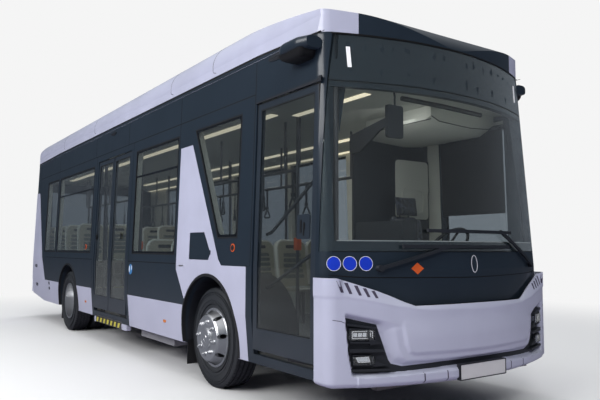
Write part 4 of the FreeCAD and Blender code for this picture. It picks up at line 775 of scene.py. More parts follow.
def lastBelow(low, high, steps, below):
    # The run between low and high up to which a test holds
    for _ in range(steps):
        middle = (low + high) / 2
        if below(middle):
            low = middle
        else:
            high = middle
    return low


def fullOutline(upper, lower):
    # Right half and its mirror image as one closed outline about the middle
    right = [(-y, z) for y, z in upper]
    left = [(y, z) for y, z in reversed(upper)]
    leftLow = [(y, z) for y, z in reversed(lower)]
    rightLow = [(-y, z) for y, z in lower]
    points = right + left[1:] + leftLow + rightLow[1:]
    return points


openingOutline = fullOutline(bumperShape["opening"], bumperShape["openingLow"])
grilleOutline = fullOutline(bumperShape["grille"], bumperShape["grilleLow"])
chinOutline = [(-y, z) for y, z in bumperShape["chin"]] + [(y, z) for y, z in reversed(bumperShape["chin"])]
chinOutline = [p for i, p in enumerate(chinOutline) if p != chinOutline[i - 1]]


def bumperLift(y, z):
    s = bumperShape
    top, crease = lineAt(s["top"], abs(y)), lineAt(s["crease"], abs(y))
    lift = 0.0
    if z > crease:
        lean = (z - crease) / max(0.02, top - crease)
        corner = 1.0 - smooth((abs(y) - s["cornerY"]) / s["cornerRun"])
        sink = s["sink"] + s["sideSink"] * smooth((abs(y) - s["sinkY"]) / s["sinkRun"])
        lift -= sink * lean ** s["sinkPower"] * corner
        brow = smooth((z - crease) / s["browRun"]) * smooth((abs(y) - s["browY"]) / s["browFade"])
        lift += s["brow"] * brow
    share = 0.0
    dOpen, inOpen = edgeDistance((y, z), openingOutline)
    if inOpen:
        dGrille, inGrille = edgeDistance((y, z), grilleOutline)
        share = 1.0 if inGrille else dOpen / (dOpen + dGrille)
        lift -= s["depth"] * smooth(share * s["depthGain"])
    dChin, inChin = edgeDistance((y, z), chinOutline)
    if inChin:
        fade = (1.0 - smooth((z - s["chinTop"]) / s["chinFade"])) * (1.0 - share)
        lift += s["chinProud"] * smooth(dChin / s["chinEdge"]) * fade
    if z < s["lipZ"] and abs(y) < s["lipY"]:
        lift += s["lip"] * smooth((s["lipZ"] - z) / s["lipRun"])
    if z < s["tuckZ"]:
        lift -= s["tuck"] * ((s["tuckZ"] - z) / s["tuckRun"]) ** s["tuckPower"]
    return lift


def bumperPoint(u, z, out):
    point, way = bumperBase(u)
    return Vector((point.x, point.y, z)) + way * out


def runAt(y):
    # The run along the bumper's plan that reaches y
    return math.copysign(lastBelow(0.0, 2.0, 36, lambda run: bumperBase(run)[0].y < abs(y)), y)


def onBumper(y, z, out):
    return bumperPoint(runAt(y), z, out)


def addBumperSheet():
    s = bumperShape
    end = lastBelow(0.5, 2.5, 40, lambda run: bumperBase(run)[0].x > s["endX"])
    columns = int(2 * end / s["step"])
    rows = int(s["tall"] / s["step"])
    bm = bmesh.new()
    front, back = [], []
    for i in range(columns + 1):
        u = -end + 2 * end * i / columns
        base, _ = bumperBase(u)
        y = base.y
        top = lineAt(s["top"], abs(y))
        frontRow, backRow = [], []
        for j in range(rows + 1):
            z = s["low"] + (top - s["low"]) * j / rows
            lift = bumperLift(y, z)
            frontRow.append(bm.verts.new(bumperPoint(u, z, lift)))
            backRow.append(bm.verts.new(bumperPoint(u, z, lift - s["thick"])))
        front.append(frontRow)
        back.append(backRow)
    for i in range(columns):
        for j in range(rows):
            bm.faces.new((front[i][j], front[i + 1][j], front[i + 1][j + 1], front[i][j + 1]))
            bm.faces.new((back[i][j], back[i][j + 1], back[i + 1][j + 1], back[i + 1][j]))
        bm.faces.new((front[i][0], back[i][0], back[i + 1][0], front[i + 1][0]))
        bm.faces.new((front[i][rows], front[i + 1][rows], back[i + 1][rows], back[i][rows]))
    for j in range(rows):
        bm.faces.new((front[0][j], front[0][j + 1], back[0][j + 1], back[0][j]))
        bm.faces.new((front[columns][j], back[columns][j], back[columns][j + 1], front[columns][j + 1]))
    bumper = pieceFromBmesh("bumper_shell", bm, "lilac", "lilac", 50)
    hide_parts("front_bumper")


insertShape = {
    "proud": 0.0015, "root": 0.004, "span": 1.13, "step": 0.04, "shelfOut": -0.010, "frameOut": -0.016,
    "finOut": -0.022, "frameMiddleY": 1.03, "frameWide": 0.13, "frameHigh": 0.2,
    "shelves": (((1.116, 0.786), (0.914, 0.752), (0.905, 0.738), (1.112, 0.770)),
                ((1.103, 0.612), (0.862, 0.600), (0.856, 0.580), (1.100, 0.585)),
                ((1.094, 0.470), (0.815, 0.463), (0.810, 0.450), (1.088, 0.452))),
    "frames": (((1.100, 0.752), (0.965, 0.742), (0.958, 0.642), (1.094, 0.648)),
               ((1.078, 0.566), (0.945, 0.560), (0.940, 0.492), (1.072, 0.494))),
    "fins": (((0.958, 0.690), (0.872, 0.640), (0.958, 0.628)),
             ((0.940, 0.535), (0.838, 0.486), (0.940, 0.480))),
}
slotShape = {"half": 0.0125, "taper": 0.6, "root": -0.004, "proud": 0.0012, "step": 0.012,
             "runs": ((1.176, 1.082, 1.146, 1.000), (1.119, 1.066, 1.090, 0.990),
                      (1.052, 1.046, 1.026, 0.978), (0.992, 1.026, 0.966, 0.966),
                      (0.932, 1.008, 0.908, 0.957))}


def bumperSide(side):
    return lambda y, z, out: onBumper(side * y, z, out)


def bumperSkin(side):
    return lambda y, z, out: onBumper(side * y, z, out + bumperLift(y, z))


def addBumperInsert():
    # Back plate, shelves, lamp frames and the fins that point inward from the frames
    s = insertShape
    floor = -bumperShape["depth"]
    bm = bmesh.new()
    addPatch(bm, grilleOutline, onBumper, floor - s["root"], floor + s["proud"],
             gridCuts(-s["span"], s["span"], s["step"]))
    for side in (-1, 1):
        place = bumperSide(side)
        for outline in s["shelves"]:
            addPatch(bm, outline, place, floor, s["shelfOut"])
        for outline in s["frames"]:
            middle = sum(p[1] for p in outline) / 4
            inner = [(y + (s["frameMiddleY"] - y) * s["frameWide"], z + (middle - z) * s["frameHigh"])
                     for y, z in outline]
            for k in range(4):
                piece = (outline[k], outline[(k + 1) % 4], inner[(k + 1) % 4], inner[k])
                addPatch(bm, piece, place, floor, s["frameOut"])
        for outline in s["fins"]:
            addPatch(bm, outline, place, floor, s["finOut"])
    insert = pieceFromBmesh("lamp_insert", bm, "blackPlastic", "black_plastic", 25)
    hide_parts("front_grille")


def addWingSlots():
    s = slotShape
    bm = bmesh.new()
    half = s["half"]
    for side in (-1, 1):
        for topY, topZ, lowY, lowZ in s["runs"]:
            outline = ((topY - half, topZ), (topY + half, topZ), (lowY + half, lowZ),
                       (lowY - half * s["taper"], lowZ))
            # Each slot is a dark sheet on the skin: painted shade of the slot's recess
            addPatch(bm, outline, bumperSkin(side), s["root"], s["proud"], (),
                     gridCuts(lowZ, topZ, s["step"]))
    pieceFromBmesh("wing_slots", bm, "slotShade", "black_plastic", 25)


addBumperSheet()
addBumperInsert()
addWingSlots()
print("stage: bumper")

# Outline tools

def grownOutline(points, amount):
    # Outline moved outward by an amount; its corners stay sharp
    turns = sum(ax * by - bx * ay for (ax, ay), (bx, by) in zip(points, points[1:] + points[:1]))
    sign = 1 if turns > 0 else -1
    result = []
    for i, (px, py) in enumerate(points):
        ax, ay = points[i - 1]
        bx, by = points[(i + 1) % len(points)]
        before = Vector((py - ay, ax - px)).normalized() * sign
        after = Vector((by - py, px - bx)).normalized() * sign
        way = (before + after).normalized()
        reach = amount / max(0.3, way.dot(before))
        result.append((px + way.x * reach, py + way.y * reach))
    return result


def roundOutline(points, r, steps=4):
    result = []
    for i, corner in enumerate(points):
        corner = Vector(corner)
        before, after = Vector(points[i - 1]), Vector(points[(i + 1) % len(points)])
        start = corner + (before - corner).normalized() * r
        end = corner + (after - corner).normalized() * r
        for k in range(steps + 1):
            t = k / steps
            point = start * (1 - t) ** 2 + corner * 2 * t * (1 - t) + end * t * t
            result.append((point.x, point.y))
    return result


def addFrame(bm, outer, inner, place, low, high):
    # Ring between two outlines with the same number of points
    rings = []
    for (outU, outV), (inU, inV) in zip(outer, inner):
        rings.append([place(outU, outV, low), place(outU, outV, high), place(inU, inV, high),
                      place(inU, inV, low)])
    addRings(bm, rings, loop=True)


def rectangle(u0, u1, v0, v1):
    return [(u0, v0), (u1, v0), (u1, v1), (u0, v1)]


def patchPiece(name, outlines, place, low, high, look, slot, cutsU=(), cutsV=(), degrees=30, body="bus"):
    bm = bmesh.new()
    for outline in outlines:
        addPatch(bm, outline, place, low, high, cutsU, cutsV)
    return pieceFromBmesh(name, bm, look, slot, degrees, body)


# Sides: panel gaps, window seals and borders, roof band, pods, arch lips, fittings and ramp cap

windowZ = (1.24, 2.50)


def windowRow(spans):
    return [rectangle(x0, x1, *windowZ) for x0, x1 in spans]


wallShape = {
    "quarter": [(2.960, 1.400), (3.330, 1.400), (3.345, 2.500), (2.385, 2.500)],
    "right": windowRow(((0.690, 1.975), (-3.050, -1.060), (-3.930, -3.160))),
    "left": windowRow(((0.700, 1.975), (-1.000, 0.610), (-3.050, -1.090), (-3.930, -3.160),
                       (3.560, 4.380))),
    # Runs of the panel gaps, on both walls and on each one
    "seams": [[(-3.13, 1.15), (-3.13, 2.912)], [(-1.03, 2.63), (-1.03, 2.912)],
              [(2.00, 2.36), (2.00, 2.912)], [(3.49, 1.155), (3.57, 1.155), (3.57, 2.912)],
              [(-4.58, 2.36), (-4.58, 2.912)], [(0.37, 2.63), (0.37, 2.912)],
              [(-4.56, 2.63), (3.57, 2.63)]],
    "rightSeams": [[(-0.955, 0.735), (-0.955, 2.63)], [(0.573, 0.735), (0.573, 2.63)],
                   [(-3.73, 1.146), (-0.955, 1.146)], [(0.573, 1.146), (2.03, 1.146)]],
    "leftSeams": [[(-3.73, 1.146), (2.03, 1.146)], [(-1.045, 0.74), (-1.045, 2.63)],
                  [(0.655, 0.74), (0.655, 2.63)]],
    "folds": (1.15, 0.735), "seam": 0.009, "seamDepth": (-0.003, 0.0005),
    "roofGap": (-4.83, 4.54, 2.9205, 2.9235), "roofGapDepth": (-0.004, 0.0006), "roofGapStep": 0.5,
    "seal": (0.006, -0.009), "sealDepth": (-0.0035, 0.0012),
    "border": (-0.004, -0.030), "borderRounds": (0.004, 0.045), "borderDepth": (-0.0045, -0.0036),
    "barEnd": 0.02, "bar": (2.165, 2.190), "barDepth": (-0.0045, -0.0030),
}


def addWallDetails():
    s = wallShape
    for side, word in wallSides:
        place = onWall(side)
        seams, seals, borders = bmesh.new(), bmesh.new(), bmesh.new()
        for line in s["seams"] + s[word + "Seams"]:
            addPatch(seams, bandOutline(line, s["seam"]), place, *s["seamDepth"], (), s["folds"])
        x0, x1, z0, z1 = s["roofGap"]
        addPatch(seams, rectangle(x0, x1, z0, z1), place, *s["roofGapDepth"],
                 gridCuts(x0, x1, s["roofGapStep"]))
        for outline in s[word] + [s["quarter"]]:
            addFrame(seals, *(grownOutline(outline, grow) for grow in s["seal"]), place, *s["sealDepth"])
            rings = [roundOutline(grownOutline(outline, grow), r)
                     for grow, r in zip(s["border"], s["borderRounds"])]
            addFrame(borders, *rings, place, *s["borderDepth"])
        # On the doors' side the two long windows have a bar under their hoppers
        for outline in s[word][:2] if side < 0 else ():
            x0, x1 = outline[0][0] + s["barEnd"], outline[1][0] - s["barEnd"]
            addPatch(borders, rectangle(x0, x1, *s["bar"]), place, *s["barDepth"])
        pieceFromBmesh("panel_gaps_" + word, seams, "seam", "rubber", 20)
        pieceFromBmesh("window_seals_" + word, seals, "rubber", "rubber", 20)
        pieceFromBmesh("window_borders_" + word, borders, "border", "black_plastic", 20)


roofShape = {
    "rim": (1.170, 2.925), "low": (1.158, 3.060), "mid": (1.093, 3.255), "top": (0.900, 3.330), "steps": 24,
    "band": [(-4.80, 2.950), (-3.20, 2.974), (3.60, 2.974), (4.08, 2.957), (4.36, 2.939), (4.50, 2.931)],
    "bandFoot": 0.0015, "bandDepth": (-0.002, 0.0008), "cutStep": 0.25,
    "line": 0.020, "lineDepth": (-0.002, 0.0016),
    "gaps": (-3.00, -1.22, 1.66, 2.70), "gapWidth": 0.0055, "gapDepth": (-0.002, 0.0010), "gapStep": 0.02,
    "gapLine": ((0.075, 0.085), (0.020, 0.100), (0.0, 0.120), (0.004, 0.200), (0.035, 0.320),
                (0.050, 0.460), (0.052, 0.560)),
}


def arcThrough(a, b, c):
    # Centre and radius of the circle through three points
    (ax, ay), (bx, by), (cx, cy) = a, b, c
    d = 2 * (ax * (by - cy) + bx * (cy - ay) + cx * (ay - by))
    ux = ((ax * ax + ay * ay) * (by - cy) + (bx * bx + by * by) * (cy - ay)
          + (cx * cx + cy * cy) * (ay - by)) / d
    uy = ((ax * ax + ay * ay) * (cx - bx) + (bx * bx + by * by) * (ax - cx)
          + (cx * cx + cy * cy) * (bx - ax)) / d
    return ux, uy, math.hypot(ax - ux, ay - uy)


def coveLine():
    # The cove of the roof from its rim upwards, as (y, z) points on its skin
    s = roofShape
    cy, cz, radius = arcThrough(s["low"], s["mid"], s["top"])
    start = math.atan2(s["low"][1] - cz, s["low"][0] - cy)
    end = math.atan2(s["top"][1] - cz, s["top"][0] - cy)
    points = [s["rim"]]
    for k in range(s["steps"] + 1):
        angle = start + (end - start) * k / s["steps"]
        points.append((cy + radius * math.cos(angle), cz + radius * math.sin(angle)))
    return points


def onCove(side):
    # Point on the cove by its run up from the rim
    points = coveLine()

    def place(x, run, out):
        left = max(0.0, run)
        for (y0, z0), (y1, z1) in zip(points, points[1:]):
            step = math.hypot(y1 - y0, z1 - z0)
            if left <= step or (y1, z1) == points[-1]:
                break
            left -= step
        alongY, alongZ = (y1 - y0) / step, (z1 - z0) / step
        return Vector((x, side * (y0 + alongY * left + alongZ * out), z0 + alongZ * left - alongY * out))
    return place


def addRoofBand():
    s = roofShape
    top = [(x, z - s["rim"][1]) for x, z in s["band"]]
    foot = [(top[0][0], s["bandFoot"]), (top[-1][0], s["bandFoot"])]
    line = [(x, run - s["line"]) for x, run in top]
    cuts = gridCuts(top[0][0], top[-1][0], s["cutStep"])
    for side, word in wallSides:
        place = onCove(side)
        patchPiece("roof_band_" + word, [foot + top[::-1]], place, *s["bandDepth"], "charcoal", "charcoal",
                   cuts)
        bm = bmesh.new()
        addPatch(bm, line + top[::-1], place, *s["lineDepth"], cuts)
        for x in s["gaps"]:
            gap = bandOutline([(x + dx, run) for dx, run in s["gapLine"]], s["gapWidth"])
            addPatch(bm, gap, place, *s["gapDepth"], (), gridCuts(0.08, s["gapLine"][-1][1], s["gapStep"]))
        pieceFromBmesh("roof_gaps_" + word, bm, "seam", "rubber")


lipShape = {"foot": 0.003, "radius": 0.60, "steps": 72,
            "section": ((0.5765, -0.030), (0.604, -0.006), (0.604, 0.0030), (0.598, 0.0050),
                        (0.5765, 0.0070))}


def addArchLips():
    s, t = bodyShape, lipShape
    start = math.asin((s["skirtZ"] + t["foot"] - s["tyreR"]) / t["radius"])
    for side, word in wallSides:
        place = onWall(side)
        bm = bmesh.new()
        for axle in (s["axleFront"], s["axleRear"]):
            rings = []
            for k in range(t["steps"] + 1):
                angle = start + (math.pi - 2 * start) * k / t["steps"]
                rings.append([place(axle + r * math.cos(angle),
                                    max(s["tyreR"] + r * math.sin(angle), s["skirtZ"]), out)
                              for r, out in t["section"]])
            addRings(bm, rings)
        pieceFromBmesh("arch_lips_" + word, bm, "rubber", "rubber")


fittingShape = {
    "ovals": (ellipse(-0.27, 2.872, 0.115, 0.026), ellipse(3.895, 2.886, 0.130, 0.028)),
    "ovalDepth": (-0.003, 0.006), "ovalInset": -0.012, "ovalTopDepth": (0.0, 0.009),
    "vents": ((-4.52, 0.973), (-4.45, 0.627)), "ventHalf": (0.070, 0.026), "ventWall": 0.008,
    "ventRounds": (0.012, 0.006), "ventDepth": (-0.003, 0.005), "slatDepth": (-0.002, 0.003),
    "slats": 3, "slatFoot": 0.010, "slatPitch": 0.012, "slat": 0.006,
    "caps": ((-3.484, 0.690), (-3.484, 0.602)), "capRings": ((0.028, -0.002, 0.006), (0.017, 0.0, 0.010)),
    "rail": [(3.585, 2.540), (4.535, 2.540), (4.535, 2.566), (3.600, 2.556)],
    "railDepth": (-0.001, 0.010), "railCuts": (3.6, 4.5, 0.2),
    "railEnd": (4.500, 4.535, 2.536, 2.582, 0.008), "railEndDepth": (-0.001, 0.014),
    "releases": ((3.259, 1.311), (-1.305, 1.325)), "releaseRing": 0.036, "ringDepth": (-0.002, 0.0030),
    "knob": 0.027, "knobDepth": (0.0, 0.006), "grip": (0.018, 0.005, 0.003), "gripDepth": (0.0, 0.012),
    "keyhole": (2.399, 1.326, 0.012, 0.012), "keyholeDepth": (-0.004, 0.0015),
    "disc": (0.665, 1.050, 0.062, 0.062), "discDepth": (-0.001, 0.0010), "discMarkDepth": (0.0, 0.0016),
    "discMarks": [ellipse(0.628, 1.050, 0.016, 0.040), ellipse(0.705, 1.068, 0.010, 0.030)],
    "markers": (1.72, -1.266), "marker": (0.035, 0.508, 0.538, 0.012), "markerDepth": (-0.002, 0.006),
    "strip": [(2.110, 1.128), (2.215, 1.128)], "stripWidth": 0.014, "stripDepth": (-0.001, 0.0022),
}


def boxInset(x, z, w, h, inset, r):
    return roundedBox(x - w + inset, x + w - inset, z - h + inset, z + h - inset, r)


def addSideFittings():
    s = fittingShape
    right, left = onWall(-1), onWall(1)
    w, h = s["ventHalf"]
    inset = s["ventWall"]
    bm = bmesh.new()
    for outline in s["ovals"]:
        addPatch(bm, outline, right, *s["ovalDepth"])
        addPatch(bm, grownOutline(outline, s["ovalInset"]), right, *s["ovalTopDepth"])
    for place in (right, left):
        for x, z in s["vents"]:
            rings = [boxInset(x, z, w, h, cut, r) for cut, r in zip((0.0, inset), s["ventRounds"])]
            addFrame(bm, *rings, place, *s["ventDepth"])
            for k in range(s["slats"]):
                low = z - h + s["slatFoot"] + s["slatPitch"] * k
                addPatch(bm, rectangle(x - w + inset, x + w - inset, low, low + s["slat"]), place,
                         *s["slatDepth"])
    for x, z in s["caps"]:
        for r, low, high in s["capRings"]:
            addPatch(bm, ellipse(x, z, r, r), right, low, high)
    addPatch(bm, s["rail"], right, *s["railDepth"], gridCuts(*s["railCuts"]))
    addPatch(bm, roundedBox(*s["railEnd"]), right, *s["railEndDepth"])
    pieceFromBmesh("side_vents", bm, "blackPlastic", "black_plastic")
    rings = [ellipse(x, z, s["releaseRing"], s["releaseRing"]) for x, z in s["releases"]]
    patchPiece("release_rings", rings, right, *s["ringDepth"], "signOrange", "black_plastic")
    bm = bmesh.new()
    w, h, r = s["grip"]
    for x, z in s["releases"]:
        addPatch(bm, ellipse(x, z, s["knob"], s["knob"]), right, *s["knobDepth"])
        addPatch(bm, roundedBox(x - w, x + w, z - h, z + h, r), right, *s["gripDepth"])
    addPatch(bm, ellipse(*s["keyhole"]), right, *s["keyholeDepth"])
    pieceFromBmesh("release_knobs", bm, "blackPlastic", "black_plastic")
    patchPiece("side_disc", [ellipse(*s["disc"])], right, *s["discDepth"], "skyBlue", "black_plastic")
    patchPiece("side_disc_mark", s["discMarks"], right, *s["discMarkDepth"], "signWhite", "black_plastic",
               degrees=32)
    half, z0, z1, r = s["marker"]
    bm = bmesh.new()
    for place in (right, left):
        for x in s["markers"]:
            addPatch(bm, roundedBox(x - half, x + half, z0, z1, r), place, *s["markerDepth"])
    pieceFromBmesh("side_markers", bm, "amber", "lamp_clear")
    patchPiece("side_strip", [bandOutline(s["strip"], s["stripWidth"])], right, *s["stripDepth"], "silver",
               "frame_steel")


rampShape = {"faceY": -1.195, "ground": (-0.765, 0.275, 0.288, 0.368), "groundDepth": (-0.001, 0.0010),
             "stripes": 7, "firstX": -0.745, "stripeDepth": (0.0, 0.0016), "endDepth": (-0.060, -0.004),
             "pitch": 0.148, "stripe": ((0.0, 0.290), (0.072, 0.290), (0.098, 0.350), (0.026, 0.350)),
             "ends": ((-0.860, -0.782), (0.292, 0.480)), "endHigh": (0.278, 0.352, 0.018)}


def addRampCap():
    s = rampShape

    def place(x, z, out):
        return Vector((x, s["faceY"] - out, z))
    stripes = [[(s["firstX"] + s["pitch"] * k + x, z) for x, z in s["stripe"]] for k in range(s["stripes"])]
    ends = [roundedBox(low, high, *s["endHigh"]) for low, high in s["ends"]]
    patchPiece("ramp_stripe_ground", [rectangle(*s["ground"])], place, *s["groundDepth"], "black",
               "ramp_metal", body="ramp_body")
    patchPiece("ramp_stripes", stripes, place, *s["stripeDepth"], "yellow", "ramp_metal", body="ramp_body")
    patchPiece("ramp_ends", ends, place, *s["endDepth"], "lilac", "lilac")


podShape = {"wallY": 1.160, "outY": 1.335, "topZ": 2.888, "midZ": 2.786, "rear": 4.080, "front": 4.500,
            "steps": 16, "power": 3.2, "points": 28, "drop": 0.035, "rise": 0.030,
            "hood": ((-0.010, 0.000), (0.006, 0.004), (0.024, 0.012), (0.040, 0.030), (0.049, 0.052)),
            "hoodEnd": 0.05, "hoodGap": (0.005, 0.012), "hoodRound": 0.03}


def podRing(x, side, y0, y1, z0, z1):
    # Squarish oval across the pod
    s = podShape
    ring = []
    for k in range(s["points"]):
        angle = 2 * math.pi * k / s["points"]
        c, t = math.cos(angle), math.sin(angle)
        u, v = (math.copysign(abs(part) ** (2 / s["power"]), part) for part in (c, t))
        ring.append(Vector((x, side * ((y0 + y1) / 2 + u * (y1 - y0) / 2),
                            (z0 + z1) / 2 + v * (z1 - z0) / 2)))
    return ring


def addPods():
    # Camera pods: bullet-shaped body over a black hood that holds the cameras
    s = podShape
    body, hood = bmesh.new(), bmesh.new()
    for side in (-1, 1):
        rings = []
        for k in range(s["steps"] + 1):
            t = k / s["steps"]
            full = (1 - (1 - min(1.0, t * 2.6)) ** 2.4) ** 0.5 * (1 - 0.20 * max(0.0, t - 0.75) * 4)
            high, low = s["topZ"] - s["drop"] * (1 - full), s["midZ"] + s["rise"] * (1 - full)
            rings.append(podRing(s["rear"] + (s["front"] - s["rear"]) * t, side, s["wallY"],
                                 s["wallY"] + (s["outY"] - s["wallY"]) * max(full, 0.05),
                                 low, max(high, low + 0.01)))
        addRings(body, rings)
        rings = []
        for drop, inset in s["hood"]:
            outline = roundedBox(s["rear"] + s["hoodEnd"] + inset * 1.6, s["front"] - s["hoodEnd"] - inset,
                                 s["wallY"] + s["hoodGap"][0], s["outY"] - s["hoodGap"][1] - inset,
                                 s["hoodRound"])
            rings.append([Vector((x, side * y, s["midZ"] - drop)) for x, y in outline])
        addRings(hood, rings)
    shell = pieceFromBmesh("pod_bodies", body, "charcoal", "charcoal", 40)
    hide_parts("mirror_pods")
    pieceFromBmesh("pod_hoods", hood, "black", "black_plastic", 40)


addWallDetails()
addRoofBand()
addPods()
addArchLips()
addSideFittings()
addRampCap()
print("stage: side details")

# Doors: seals, handles, latches, lock and grab rails

doorShape = {
    "doors": {"front": (3.604, 4.496), "mid_front": (-0.1825, 0.486), "mid_rear": (-0.866, -0.1975)},
    "leafZ": (0.476, 2.538), "glassZ": (0.652, 2.476), "stile": 0.062,
    "edgeSeal": (-0.001, -0.010), "edgeDepth": (-0.020, -0.0066),
    "glassSeal": (0.004, -0.006), "glassDepth": (-0.020, -0.0070),
    "handle": (4.340, 4.352, 1.40, 1.50), "handleDepth": (-0.010, 0.004),
    "latch": {"mid_front": 0.236, "mid_rear": -0.810}, "latchZ": 1.464, "latchHalf": (0.013, 0.036),
    "latchDepth": (-0.012, 0.002),
    "railY": -1.135, "railOut": 0.05, "railR": 0.014, "railEnds": (3.70, 4.36),
    "frontRails": ((1.42, 1.44, 1.86, 1.88), (0.98, 1.0, 1.30, 1.32)), "midRail": (0.90, 0.94, 1.76, 1.80),
    "railShift": {"mid_front": 0.20, "mid_rear": -0.20},
    "lock": (4.255, 4.420, 1.375, 1.560, 0.016), "lockDepth": (-0.010, -0.0015),
    "lockSlots": ((4.295, 4.318, 1.420, 1.520, 0.006), (4.350, 4.362, 1.445, 1.495, 0.005)),
    "slotDepth": (-0.003, 0.0010),
}


def addDoorRail(bm, xs, heights):
    # Grab rail that stands off the leaf between its two ends
    s = doorShape
    wallY, railY = s["railY"], s["railY"] + s["railOut"]
    ys = (wallY, railY, railY, wallY)
    addTube(bm, list(zip((xs[0], xs[0], xs[1], xs[1]), ys, heights)), s["railR"], 12)


def addDoorDetails():
    # Each leaf carries its own seals, handle or latch, and grab rails
    s = doorShape
    place = onWall(-1)
    for word, (x0, x1) in s["doors"].items():
        body = "door_" + word + "_panel"
        outline = rectangle(x0, x1, *s["leafZ"])
        glass = rectangle(x0 + s["stile"], x1 - s["stile"], *s["glassZ"])
        seals, rails = bmesh.new(), bmesh.new()
        addFrame(seals, *(grownOutline(outline, grow) for grow in s["edgeSeal"]), place, *s["edgeDepth"])
        addFrame(seals, *(grownOutline(glass, grow) for grow in s["glassSeal"]), place, *s["glassDepth"])
        if word == "front":
            addPatch(seals, rectangle(*s["handle"]), place, *s["handleDepth"])
            for heights in s["frontRails"]:
                addDoorRail(rails, s["railEnds"], heights)
        else:
            latch = ellipse(s["latch"][word], s["latchZ"], *s["latchHalf"])
            addPatch(seals, latch, place, *s["latchDepth"])
            x = (x0 + x1) / 2 + s["railShift"][word]
            addDoorRail(rails, (x, x), s["midRail"])
        pieceFromBmesh("door_seals_" + word, seals, "rubber", "rubber", body=body)
        pieceFromBmesh("door_rail_" + word, rails, "pole", "pole", 40, body)
    patchPiece("door_lock_plate", [roundedBox(*s["lock"])], place, *s["lockDepth"], "doorFrame",
               "door_frame", body="door_front_panel")
    patchPiece("door_lock_slot", [roundedBox(*slot) for slot in s["lockSlots"]], place, *s["slotDepth"],
               "black", "black_plastic", body="door_front_panel")


addDoorDetails()
print("stage: door details")

# Front: blank signs, plates, lamps, gaps, destination display and marker lamps

def onFrontRun(u, z, out):
    # Point on the front by its run from the middle, so that signs keep their shape at the corner
    s = bodyShape
    turn = math.asin((s["halfWidth"] - s["corner"]) / (s["faceArc"] - s["corner"]))
    run, sign = abs(u), 1 if u >= 0 else -1
    lean = s["faceLean"] * max(0.0, z - s["beltZ"]) / (s["roofLineZ"] - s["beltZ"])
    centre = s["faceX"] - s["faceArc"] - lean
    if run <= s["faceArc"] * turn:
        angle = run / s["faceArc"]
        reach = s["faceArc"] + out
        return Vector((centre + reach * math.cos(angle), sign * reach * math.sin(angle), z))
    angle = min(turn + (run - s["faceArc"] * turn) / s["corner"], math.pi / 2)
    reach = s["corner"] + out
    along = s["faceArc"] - s["corner"]
    return Vector((centre + along * math.cos(turn) + reach * math.cos(angle),
                   sign * (wallY(z) - s["corner"] + reach * math.sin(angle)), z))


frontShape = {
    "discs": (-1.196, -1.078, -0.957), "discZ": 1.199, "disc": 0.050, "discDepth": (-0.001, 0.0014),
    "discRim": (0.0525, 0.0490), "discRimDepth": (-0.001, 0.0018), "discCuts": (-1.26, -0.9, 0.01),
    "badge": (0.031, 1.190), "badgeRim": ((0.036, 0.068), (0.031, 0.063)), "badgeDepth": (-0.001, 0.0016),
    "diamond": [(-0.591, 1.161), (-0.538, 1.118), (-0.485, 1.161), (-0.538, 1.204)],
    "gaps": (((-1.185, 1.185, 1.2835, 1.2880), (-0.002, 0.0022)),
             ((-1.140, 1.140, 2.5480, 2.5530), (-0.002, 0.0010)),
             ((-1.10, 1.10, 2.911, 2.9235), (-0.004, 0.0022))),
    "chinGap": [(-1.19, 1.116), (-0.98, 1.100), (0.0, 1.087), (0.98, 1.100), (1.19, 1.116)],
    "chinGapWidth": 0.007, "chinGapDepth": (-0.003, 0.0006), "cuts": (-1.20, 1.20, 0.03),
    "strip": (-1.125, 1.125, 1.3585, 1.3665), "stripDepth": (-0.013, -0.0105),
    "display": (-0.806, 0.806, 2.600, 2.864, 0.012), "displayDepth": (-0.0125, -0.0095),
    "marker": ((1.000, 2.817), (0.972, 2.817), (0.966, 2.658), (0.994, 2.658)),
    "markerDepth": (-0.002, 0.0020),
}


def addFrontDetails():
    s = frontShape
    cuts = gridCuts(*s["cuts"])

    def disc(y, r):
        return ellipse(y, s["discZ"], r, r)
    patchPiece("front_discs", [disc(y, s["disc"]) for y in s["discs"]], onFrontRun, *s["discDepth"],
               "signBlue", "black_plastic", gridCuts(*s["discCuts"]))
    bm = bmesh.new()
    for y in s["discs"]:
        addFrame(bm, *(disc(y, r) for r in s["discRim"]), onFrontRun, *s["discRimDepth"])
    addFrame(bm, *(ellipse(*s["badge"], *half) for half in s["badgeRim"]), onFront, *s["badgeDepth"])
    pieceFromBmesh("front_disc_rims", bm, "signWhite", "black_plastic")
    patchPiece("front_diamond", [s["diamond"]], onFront, *s["discDepth"], "signOrange", "black_plastic")
    bm = bmesh.new()
    for box, depth in s["gaps"]:
        addPatch(bm, rectangle(*box), onFront, *depth, cuts)
    addPatch(bm, bandOutline(s["chinGap"], s["chinGapWidth"]), onFront, *s["chinGapDepth"], cuts)
    pieceFromBmesh("front_gaps", bm, "seam", "rubber", 20)
    patchPiece("screen_edge_strip", [rectangle(*s["strip"])], onFront, *s["stripDepth"], "silver",
               "frame_steel", cuts)
    patchPiece("display_panel", [roundedBox(*s["display"])], onFront, *s["displayDepth"], "display",
               "black_plastic", cuts)
    patchPiece("front_markers", [[(side * y, z) for y, z in s["marker"]] for side in (-1, 1)], onFront,
               *s["markerDepth"], "marker", "lamp_clear")


plateShape = {
    "frontX": 4.990, "rearX": -4.992, "front": (0.2550, 0.3475, 0.4525), "rear": (0.2550, 0.530, 0.640),
    "holder": (0.262, 0.3405, 0.4595), "holderInner": (0.2555, 0.347, 0.453),
    "holderDepth": (-0.030, 0.0020), "holderRim": (-0.004, 0.0060),
    "frontDepth": (0.0024, 0.0034), "frontRim": (0.0030, 0.0042),
    "rearDepth": (-0.001, 0.0012), "rearRim": (0.0, 0.0020),
}


def plateBox(size, inset=0.0, r=0.006):
    half, low, high = size
    return roundedBox(-half + inset, half - inset, low + inset, high - inset, r)


